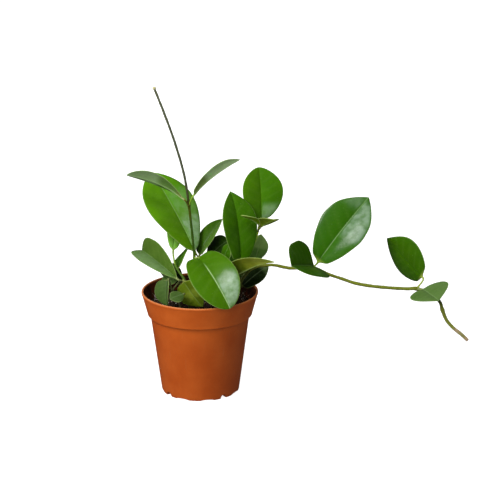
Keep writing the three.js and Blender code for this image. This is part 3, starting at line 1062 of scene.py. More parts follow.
@dataclass
class Stem:
    """A stem on its route, swollen where its leaves grow, with fine hairs on it.

    Its shades are rows of a share of its length and a paint-chart colour.
    """

    name: str
    radius: float
    nodes: tuple[int, ...]
    route: tuple[Point, ...]
    shades: tuple[tuple[float, float, float, float], ...]
    hairs: int = 0
    hair_length: float = 0.7
    cut: Colour | None = None
    cut_swell: float = 0.0
    taper: float = 0.85

    STATION = 1.3
    SIDES = 14
    FOOT_SWELL = 1.08
    NODE_SWELL = 0.32
    NODE_REACH = 2.1
    SWOLLEN_END = (2.6, 1.0)
    FRESH_END = (2.4, 0.8)
    BARE_FOOT = 8
    HAIR_RADIUS = 0.045

    # How uneven the bark is, as a share of the radius, and how long its waves are.
    WAVES = ((0.05, 9.0), (0.035, 2.2))

    def __post_init__(self) -> None:
        """Lays stations along the stem's middle line."""
        self.tube = Tube(np.array(self.route, dtype=float), self.STATION, self.SIDES)
        self.share = self.tube.reach / self.tube.reach[-1]

    def end_part(self, low: float, full: float) -> np.ndarray:
        """A soft step up between two distances from the stem's end, one value a station."""
        end = self.tube.reach[-1]
        return smooth_step(self.tube.reach, end - low, end - full)

    def radii(self) -> np.ndarray:
        """A slow taper, with swellings at the nodes and fine unevenness.

        Returns:
            One radius a corner.
        """
        radius = self.radius * (self.FOOT_SWELL + (self.taper - self.FOOT_SWELL) * self.share)
        for node in self.nodes:
            away = np.linalg.norm(self.tube.middle - np.array(self.route[node]), axis=1)
            radius = radius * (1 + self.NODE_SWELL * bell(away, self.NODE_REACH))
        radius = radius * (1 + self.cut_swell * self.end_part(*self.SWOLLEN_END))
        places = self.tube.middle[:, None, :] + self.tube.around()
        waves = enumerate(self.WAVES, seed_of(self.name))
        uneven = sum(share * Ripple(seed).at(places, size) for seed, (share, size) in waves)
        return radius[:, None] * (1 + uneven)

    def tint(self) -> np.ndarray:
        """Colours the stem through its shades, with the cut's own colour at its end.

        Returns:
            One colour a station.
        """
        stops = [stop for stop, *_ in self.shades]
        colours = np.array([paint(*channels) for _, *channels in self.shades])
        tint = np.stack([np.interp(self.share, stops, line) for line in colours.T], axis=-1)
        if self.cut is not None:
            tint = tint + (np.array(self.cut) - tint) * self.end_part(*self.FRESH_END)[:, None]
        return tint

    def hair_skin(self) -> Skin:
        """The hairs, each a fine three-sided spike that leans along the stem.

        Returns:
            All of them as one skin.
        """
        tube, random = self.tube, np.random.default_rng(seed_of(self.name) + 3)
        rooted = tube.middle[:, 2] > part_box("pot")[1].z / MILLIMETRE - self.BARE_FOOT
        around, spikes = tube.around(), []
        for station in random.choice(np.flatnonzero(rooted)[:-1], self.hairs):
            out = around[station, random.integers(tube.sides)]
            along = tube.direction[station]
            root = tube.middle[station] + along * random.uniform(0, 1.3) + out * self.radius * 0.8
            lean = unit(out + along * random.uniform(-0.5, 0.6))
            length = self.radius * 0.3 + self.hair_length * random.uniform(0.5, 1.2)
            wide = unit(np.cross(lean, along)) * self.HAIR_RADIUS
            thick = along * self.HAIR_RADIUS
            foot = [root + wide, root - wide * 0.5 + thick, root - wide * 0.5 - thick]
            sides = [(0, 1, 3), (1, 2, 3), (2, 0, 3), (0, 2, 1)]
            spikes.append(Skin(np.array([*foot, root + lean * length]), sides))
        return joined(spikes)

    def build(self, finishes: Finishes) -> None:
        """Makes the stem, and its hairs where it has them.

        Args:
            finishes: the plant's finishes.
        """
        skin = self.tube.skin(self.radii())
        tint = self.tint()
        skin.colours["tint"] = np.vstack([np.repeat(tint, self.SIDES, axis=0), tint[0], tint[-1]])
        stem = skin.build(f"{self.name}_bark")
        seat(stem, self.name)
        settle(stem, finishes.stem, "stem", self.name)
        if self.hairs:
            settle(self.hair_skin().build(f"{self.name}_hairs"), finishes.hair, "stem")


# ---- leaves -------------------------------------------------------------------------------


class LeafTone(Enum):
    """A leaf's paint-chart colours: its upper skin, its underside and its stalk."""

    FRESH = ((78, 128, 4), (120, 144, 84), (116, 142, 50))
    GRASS = ((70, 118, 0), (112, 132, 84), (150, 168, 92))
    EMERALD = ((52, 106, 0), (104, 126, 72), (158, 182, 70))
    DEEP = ((50, 92, 0), (96, 116, 64), (150, 166, 66))
    # Near-black green for leaves that sit in shadow: painted shade.
    DUSK = ((20, 38, 4), (58, 70, 36), (92, 98, 52))
    # A silvery underside, painted lighter to make up for the shade it sits in: partly painted light.
    SILVER = ((96, 124, 60), (154, 186, 128), (116, 112, 44))
    # A silvery underside painted near white, standing in for the light it lets through and the shade it
    # sits in: partly painted light.
    FROST = ((112, 144, 70), (198, 230, 168), (130, 165, 50))
    OLIVE = ((70, 100, 10), (122, 134, 30), (138, 144, 60))
    LIME = ((70, 100, 10), (103, 136, 8), (138, 144, 60))
    PALE = ((88, 120, 58), (120, 140, 100), (128, 140, 84))
    MOSS = ((84, 104, 14), (110, 126, 60), (120, 128, 64))
    ASHEN = ((84, 106, 56), (90, 104, 70), (110, 118, 72))
    SAGE = ((66, 92, 40), (110, 126, 84), (110, 118, 72))


@dataclass(frozen=True)
class BloomAndSheen:
    """Where a leaf has pale wax bloom, partly a painted sheen: its side, its stretch and how strong it
    is.
    """

    side: float
    start: float
    stop: float
    strength: float

    def cover(self, long: np.ndarray, sides: np.ndarray) -> np.ndarray:
        """How strong the bloom and its painted sheen are.

        Args:
            long: each ring's share of the leaf's length, as a column.
            sides: each corner's place across the leaf, from -1 to 1.

        Returns:
            The strength, one a corner of each ring.
        """
        flank = 1 - 0.3 * np.abs(sides)
        if self.side:
            flank = band(sides * self.side, 0.0, 0.12, 0.82, 1.0)
        return self.strength * flank * stretch(long, self.start, self.stop, 0.08)


@dataclass(frozen=True)
class Patch:
    """A part of a leaf that differs in colour, by a paint-chart colour and how much of it.

    It lies on one side, or on both where side is 0, from start to stop along the leaf,
    and from near to far across that half, both as shares. It is on the upper skin where
    face is 1 and on the lower where it is -1, and shows through the other faintly.
    """

    colour: Colour
    share: float
    side: float = 0.0
    start: float = 0.0
    stop: float = 1.0
    near: float = 0.0
    far: float = 1.0
    face: float = 1.0

    SHOWS_THROUGH = 0.25
    SOFT_ALONG = 0.07
    SOFT_ACROSS = 0.1

    def cover(self, long: np.ndarray, sides: np.ndarray, faces: np.ndarray) -> np.ndarray:
        """How much of the patch's colour each corner has.

        Args:
            long: each ring's share of the leaf's length, as a column.
            sides: each corner's place across the leaf, from -1 to 1.
            faces: 1 at the upper skin's corners and -1 at the lower's.

        Returns:
            The share of colour, one a corner of each ring.
        """
        cover = self.share * stretch(long, self.start, self.stop, self.SOFT_ALONG)
        cover = cover * stretch(np.abs(sides), self.near, self.far, self.SOFT_ACROSS)
        if self.side:
            cover = cover * smooth_step(sides * self.side, -0.04, 0.06)
        return cover * np.where(faces == self.face, 1.0, self.SHOWS_THROUGH)


@dataclass
class Leaf:
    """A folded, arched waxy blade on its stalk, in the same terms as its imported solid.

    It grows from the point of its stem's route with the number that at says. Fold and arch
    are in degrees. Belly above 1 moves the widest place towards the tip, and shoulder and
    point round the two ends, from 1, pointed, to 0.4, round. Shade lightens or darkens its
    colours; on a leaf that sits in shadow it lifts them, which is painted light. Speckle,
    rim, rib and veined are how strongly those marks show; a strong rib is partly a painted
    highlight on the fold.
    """

    name: str
    stem: Stem
    at: int
    base: Point
    tip: Point
    faces: Point
    width: float
    fold: float
    arch: float
    belly: float
    shoulder: float
    point: float
    tone: LeafTone
    shine: Shine = Shine.GLOSSY
    shade: float = 1.0
    blooms_and_sheens: tuple[BloomAndSheen, ...] = ()
    patches: tuple[Patch, ...] = ()
    speckle: float = 0.25
    rim: float = 0.6
    rib: float = 0.15
    rib_start: float = 0.1
    veined: float = 1.0

    CURL = math.radians(22)
    STALK_RADIUS = 0.9
    CLEARANCE = 0.3
    ENDWISE = 0.5
    THICKNESS = 1.3
    EDGE = 0.75
    STALK_RINGS = 14
    BLADE_RINGS = 58
    HALF_SIDES = (0, 0.025, 0.06, 0.11, 0.18, 0.27, 0.37, 0.48, 0.59, 0.7, 0.8, 0.88, 0.94, 0.975, 0.995)

    # Ridges along the midrib: their height, their width and how much of them the tip loses.
    GROOVE = (0.24, 0.65, 0.75)
    KEEL = (0.42, 0.75, 0.85)
    PALE_RIB = (1.0, 0.42, 0.4)
    PALE_KEEL = (0.5, 0.8, 0.8)
    VEIN_HEIGHT = 0.015
    VEIN_PAIRS = 6.4
    VEIN_SLANT = 1.25
    VEIN_STAGGER = 0.37
    VEIN_WIDTH = 0.11
    WAVE = 0.3
    FINE_WAVE = 0.22 * WAVE
    EDGE_WAVE = 0.012
    EDGE_ROUNDING = 14
    TIP_ROUNDING = 18

    # The stalk's thickness: its slim part, what its foot and top add, and the foot's reach.
    STALK_SLIM = 0.86
    STALK_FOOT = 0.42
    STALK_TOP = 0.16
    STALK_FOOT_REACH = 0.16

    def __post_init__(self) -> None:
        """Works out the blade's own directions, its section's corners and its rings."""
        self.start = np.array(self.base, dtype=float)
        chord = np.array(self.tip, dtype=float) - self.start
        self.length = float(np.linalg.norm(chord))
        self.along = chord / self.length
        up = np.array(self.faces, dtype=float)
        self.up = unit(up - self.along * (up @ self.along))
        self.across = np.cross(self.up, self.along)
        half = np.array(self.HALF_SIDES)
        over = np.concatenate([-half[:0:-1], half])
        self.sides = np.concatenate([over, over[::-1]])
        self.side = np.abs(self.sides)
        self.face = np.repeat([1.0, -1.0], len(over))
        self.share = 0.5 - 0.5 * np.cos(math.pi * np.linspace(0, 1, self.BLADE_RINGS, endpoint=False))
        self.long = self.share[:, None]
        swell = np.clip(np.sin(math.pi * self.long**self.belly), 1e-9, 1)
        self.half = self.width / 2 * swell ** (self.shoulder + (self.point - self.shoulder) * self.long)

    def midrib(self, share: np.ndarray) -> tuple[np.ndarray, np.ndarray, np.ndarray]:
        """Follows the midrib.

        Args:
            share: shares of its length.

        Returns:
            Its places, its directions and its upward normals there.
        """
        arch = math.radians(self.arch)
        radius = self.length / (2 * math.sin(arch / 2))
        angle = (arch * (share - 0.5))[:, None]
        forward = self.along * (self.length / 2 + radius * np.sin(angle))
        lift = self.up * radius * (np.cos(angle) - math.cos(arch / 2))
        direction = self.along * np.cos(angle) - self.up * np.sin(angle)
        return self.start + forward + lift, direction, np.cross(direction, self.across)

    def stalk_line(self) -> np.ndarray:
        """Works out how the stalk runs from its stem to the blade.

        Returns:
            The four control points of its curve.
        """
        route = np.array(self.stem.route, dtype=float)
        node = route[self.at]
        at_end = self.at == len(route) - 1
        axis = unit(route[self.at if at_end else self.at + 1] - route[self.at - 1])
        outwards = unit(self.start - node)
        inline = abs(float(outwards @ axis))
        aside = math.sqrt(1 - inline * inline)
        if at_end and outwards @ axis > self.ENDWISE:
            reach = (self.CLEARANCE + self.STALK_RADIUS * aside) / inline
        else:
            reach = (self.stem.radius + self.CLEARANCE + self.STALK_RADIUS * inline) / aside
        foot = node + outwards * reach
        place, direction, _ = self.midrib(np.zeros(1))
        third = float(np.linalg.norm(foot - place[0])) / 3
        buried = node + outwards * min(reach, self.stem.radius * 0.55)
        bends = [foot + outwards * third * 0.9, place[0] - direction[0] * third]
        return np.array([buried, *bends, place[0]])

    def round_rings(
        self, place: np.ndarray, side: np.ndarray, up: np.ndarray, radius: np.ndarray
    ) -> np.ndarray:
        """Lays the blade's corners round circles.

        Args:
            place: the circles' middles.
            side, up: the directions that they lie in.
            radius: their radii.

        Returns:
            The corners, ring by ring.
        """
        turns = (self.face * math.pi * (1 - self.sides) / 2)[:, None]
        out = side[:, None, :] * np.cos(turns) + up[:, None, :] * np.sin(turns)
        return place[:, None, :] + out * radius[:, None, None]

    def stalk_rings(self) -> np.ndarray:
        """Round rings of corners along the stalk, swollen where it leaves the stem.

        Returns:
            The corners, ring by ring.
        """
        a, b, c, d = self.stalk_line()
        flat = np.linspace(0, 1, self.STALK_RINGS, endpoint=False)
        share, rest = flat[:, None], 1 - flat[:, None]
        place = a * rest**3 + 3 * b * share * rest**2 + 3 * c * share**2 * rest + d * share**3
        slope = 3 * (b - a) * rest**2 + 6 * (c - b) * share * rest + 3 * (d - c) * share**2
        direction = unit(slope)
        side = unit(self.across - direction * (direction @ self.across)[:, None])
        foot = self.STALK_FOOT * bell(flat, self.STALK_FOOT_REACH)
        swell = self.STALK_SLIM + foot + self.STALK_TOP * smooth_step(flat, 0.7, 1)
        return self.round_rings(place, side, np.cross(direction, side), self.STALK_RADIUS * swell)

    def ripple(self, seed: int, long: np.ndarray, wide: np.ndarray | float, size: float) -> np.ndarray:
        """The leaf's own unevenness over places along and across it, in waves of about a size."""
        places = np.stack(np.broadcast_arrays(long, wide, 0.0), axis=-1)
        return Ripple(seed_of(self.name) + seed).at(places, size)

    def ridge(self, height: float, width: float, loss: float) -> np.ndarray:
        """A ridge along the midrib, of which the tip loses a share, at each corner."""
        return height * bell(self.side * self.half, width) * (1 - loss * self.long)

    def veins(self) -> np.ndarray:
        """The slanting side veins.

        Returns:
            How near each corner is to a vein, from 0 to 1.
        """
        stagger = np.where(self.sides < 0, 0.0, self.VEIN_STAGGER)
        phase = self.long * self.VEIN_PAIRS - self.side**1.2 * self.VEIN_SLANT + stagger
        nearness = bell(np.abs((phase % 1.0) - 0.5), self.VEIN_WIDTH)
        fade = band(self.side, 0.02, 0.12, 0.72, 0.95)
        return nearness * fade * band(self.long, 0.06, 0.2, 0.85, 0.97)

    def blade_rings(self) -> np.ndarray:
        """Rings of corners round the blade, with its relief and unevenness.

        Returns:
            The corners, ring by ring.
        """
        place, _, normal = self.midrib(self.share)
        fold, side, long = math.radians(self.fold), self.side, self.long
        lean = fold - self.CURL * side
        edge_wave = self.ripple(5, self.share * 3.1, 0.0, 1.0)[:, None]
        reach = self.half * (1 + self.EDGE_WAVE * edge_wave * side**3)
        out = reach * (math.sin(fold) - np.sin(lean)) / self.CURL * np.sign(self.sides)
        lift = reach * (np.cos(lean) - math.cos(fold)) / self.CURL
        thick = self.THICKNESS + (self.EDGE - self.THICKNESS) * side
        thick = thick * np.sqrt(np.clip(1 - side**self.EDGE_ROUNDING, 0, 1))
        thick = thick * np.sqrt(np.clip(1 - long**self.TIP_ROUNDING, 0.02, 1))
        veins = self.VEIN_HEIGHT * self.veins()
        below = self.ridge(*self.KEEL) + veins
        relief = np.where(self.face > 0, -self.ridge(*self.GROOVE) - veins, below)
        wobble = self.WAVE * self.ripple(0, long * 1.9, self.sides * 1.1, 1.9)
        fine = self.FINE_WAVE * self.ripple(2, long * 3.0, self.sides * 1.6, 0.9)
        swell = (wobble + fine) * smooth_step(long, 0.02, 0.3)
        height = lift + swell + self.face * (thick / 2 + relief * np.sqrt(thick))
        middle = place[:, None, :]
        blade = middle + self.across * out[..., None] + normal[:, None, :] * height[..., None]
        across = np.repeat(self.across[None, :], len(place), axis=0)
        neck = self.round_rings(place, across, normal, np.full(len(place), self.STALK_RADIUS))
        spread = smooth_step(self.share, 0.0, 0.07)[:, None, None]
        return neck * (1 - spread) + blade * spread

    def painted(self) -> dict[str, np.ndarray]:
        """The values that the finish reads.

        Returns:
            Each value by its name, one a corner of each blade ring.
        """
        half, long, side, top = self.half, self.long, self.side, self.face > 0
        begin = smooth_step(long, self.rib_start - 0.1, self.rib_start + 0.1)
        # Pale wax bloom on the upper skin, partly a painted sheen.
        bloom = 0 * side * long
        for patch in self.blooms_and_sheens:
            bloom = np.maximum(bloom, patch.cover(long, self.sides))
        margin = bell((1 - side) * half, 0.42) * (1 - smooth_step(half, 1.0, 0.4))
        # A pale midrib on the upper skin, partly a painted highlight on the fold, and a pale keel below.
        rib = self.ridge(*self.PALE_RIB) * begin * self.rib
        return {
            "rib": np.where(top, rib, self.ridge(*self.PALE_KEEL)),
            "rim": self.rim * margin,
            "vein": self.veins() * self.veined,
            "bloom": bloom * top,
            "speckle": self.speckle * (0.4 + 0.6 * top) + 0 * long,
        }

    def tint(self) -> np.ndarray:
        """Colours the stalk, and runs it into the upper and lower skins.

        Returns:
            One colour a vertex.
        """
        upper, lower, stalk = (np.array(paint(*colour)) for colour in self.tone.value)
        flesh = np.where((self.face > 0)[None, :, None], upper, lower) * self.shade
        for patch in self.patches:
            cover = patch.cover(self.long, self.sides, self.face)[..., None]
            flesh = flesh + (np.array(paint(*patch.colour)) - flesh) * cover
        neck = (1 - smooth_step(self.long, 0.0, 0.08))[..., None]
        blade = np.clip(flesh, 0, 1)
        blade = (blade + (stalk - blade) * neck).reshape(-1, 3)
        return np.vstack([np.tile(stalk, (self.STALK_RINGS * len(self.sides), 1)), blade, stalk, upper])

    def skin(self) -> Skin:
        """The whole leaf.

        Returns:
            Its closed skin, with its painted values.
        """
        rings = np.concatenate([self.stalk_rings(), self.blade_rings()])
        tip, _, _ = self.midrib(np.ones(1))
        skin = closed_skin(rings, self.stalk_line()[0], tip)
        blank = np.zeros(self.STALK_RINGS * len(self.sides))
        for key, values in self.painted().items():
            skin.values[key] = np.concatenate([blank, values.ravel(), [0.0, values[-1].mean()]])
        skin.colours["tint"] = self.tint()
        return skin.outward()

    def build(self, finishes: Finishes) -> None:
        """Makes the leaf and dresses it."""
        settle(self.skin().build(f"{self.name}_blade"), finishes.leaves[self.shine], "leaf", self.name)


# ---- the plant's plan ---------------------------------------------------------------------


# Paint-chart colours that several stems share.
WOODY = (96, 84, 58)
GREY_GREEN = (86, 92, 66)
GREEN = (104, 124, 56)


def grown_stems() -> dict[str, Stem]:
    """Every stem with its route, from the soil to its tip.

    Returns:
        The stems by name.
    """
    stems = (
        Stem(
            name="tall_stem",
            radius=1.0,
            nodes=(3, 5),
            route=(
                (-2, 4, 56), (-2.5, 4, 81), (-3.5, 3, 98.5), (-5, 0, 125.5), (-7, 0, 150),
                (-9.5, 1, 174.5), (-12.5, 1, 197.5), (-16.5, 2, 215), (-23.2, 3, 237.5),
                (-31, 4, 259.5), (-39.8, 5, 282.6),
            ),
            shades=(
                (0.0, *WOODY), (0.28, 110, 140, 20), (0.33, 46, 78, 8), (0.45, 46, 76, 10),
                (0.475, 66, 76, 4), (0.51, 64, 74, 2), (0.53, 60, 66, 14), (0.555, 70, 68, 44),
                (0.6, 68, 74, 54), (0.8, 74, 80, 60), (1.0, 82, 85, 64),
            ),
            hairs=620,
            cut=paint(200, 195, 150),
            cut_swell=0.4,
            taper=1.15,
        ),
        Stem(
            name="right_stem",
            radius=1.1,
            nodes=(3,),
            route=(
                (32, 6, 56), (33, 6, 80), (36.5, 6, 99), (42, 5, 118), (49.5, 5, 138.5),
                (52.8, 5, 149), (53.8, 5.5, 153.5),
            ),
            # The upper part is painted bright to make up for the shade of the leaves over it: painted
            # light.
            shades=(
                (0.0, *WOODY), (0.5, 70, 88, 40), (0.66, 120, 150, 50), (0.78, 206, 236, 60),
                (1.0, 206, 236, 60),
            ),
            hairs=70,
            hair_length=0.5,
        ),
        Stem(
            name="long_vine",
            radius=1.2,
            nodes=(2, 9, 16, 19),
            route=(
                (26, -9, 58), (29.5, -10, 85), (37, -12, 105.5), (44, -10, 115), (48.5, -8, 118),
                (54, -6, 119.5), (60, -5.5, 120), (68, -5.5, 120.2), (83, -6, 117.5),
                (102.5, -6, 118), (117.5, -6, 111.5), (129, -6, 107.5), (141, -7, 103.6),
                (156, -8, 101.1), (174.5, -9, 99.6), (189, -10, 99.2), (197, -10, 99.2),
                (211, -8, 94), (218.5, -7, 85.5), (221, -7, 78), (225, -8, 68.5), (231, -9, 61.5),
                (238.5, -10, 55.5), (244.5, -11, 50),
            ),
            shades=(
                (0.0, *WOODY), (0.15, 84, 92, 40), (0.3, 108, 116, 30), (0.74, 110, 120, 34),
                (0.8, 50, 62, 18), (0.84, 52, 64, 20), (0.87, 142, 152, 56), (0.94, 146, 152, 62),
                (0.95, 196, 168, 134), (0.965, 168, 158, 104), (0.98, 150, 146, 84),
                (1.0, 206, 174, 144),
            ),
            hairs=240,
            hair_length=0.4,
            cut=paint(190, 160, 128),
            taper=1.35,
        ),
        Stem(
            name="left_stem",
            radius=1.2,
            nodes=(2, 4),
            route=(
                (-7, -14, 58), (-9.5, -16, 86), (-13, -16, 108), (-18.5, -13, 116.5),
                (-22, -10, 121.5),
            ),
            shades=((0.0, *WOODY), (0.42, 48, 60, 26), (0.6, 60, 88, 26), (1.0, 78, 110, 34)),
        ),
        Stem(
            name="centre_stem",
            radius=1.2,
            nodes=(2, 3),
            route=((10, 16, 56), (9, 16, 78), (7, 15, 94.5), (3, 14, 117)),
            shades=((0.0, *WOODY), (0.6, *GREY_GREEN), (1.0, *GREEN)),
        ),
        Stem(
            name="low_stem",
            radius=1.2,
            nodes=(2, 3),
            route=((-15, -18, 60), (-17.5, -20, 86), (-21, -22, 95.5), (-24.5, -22, 101)),
            shades=((0.0, *WOODY), (1.0, *GREY_GREEN)),
        ),
    )
    return {stem.name: stem for stem in stems}


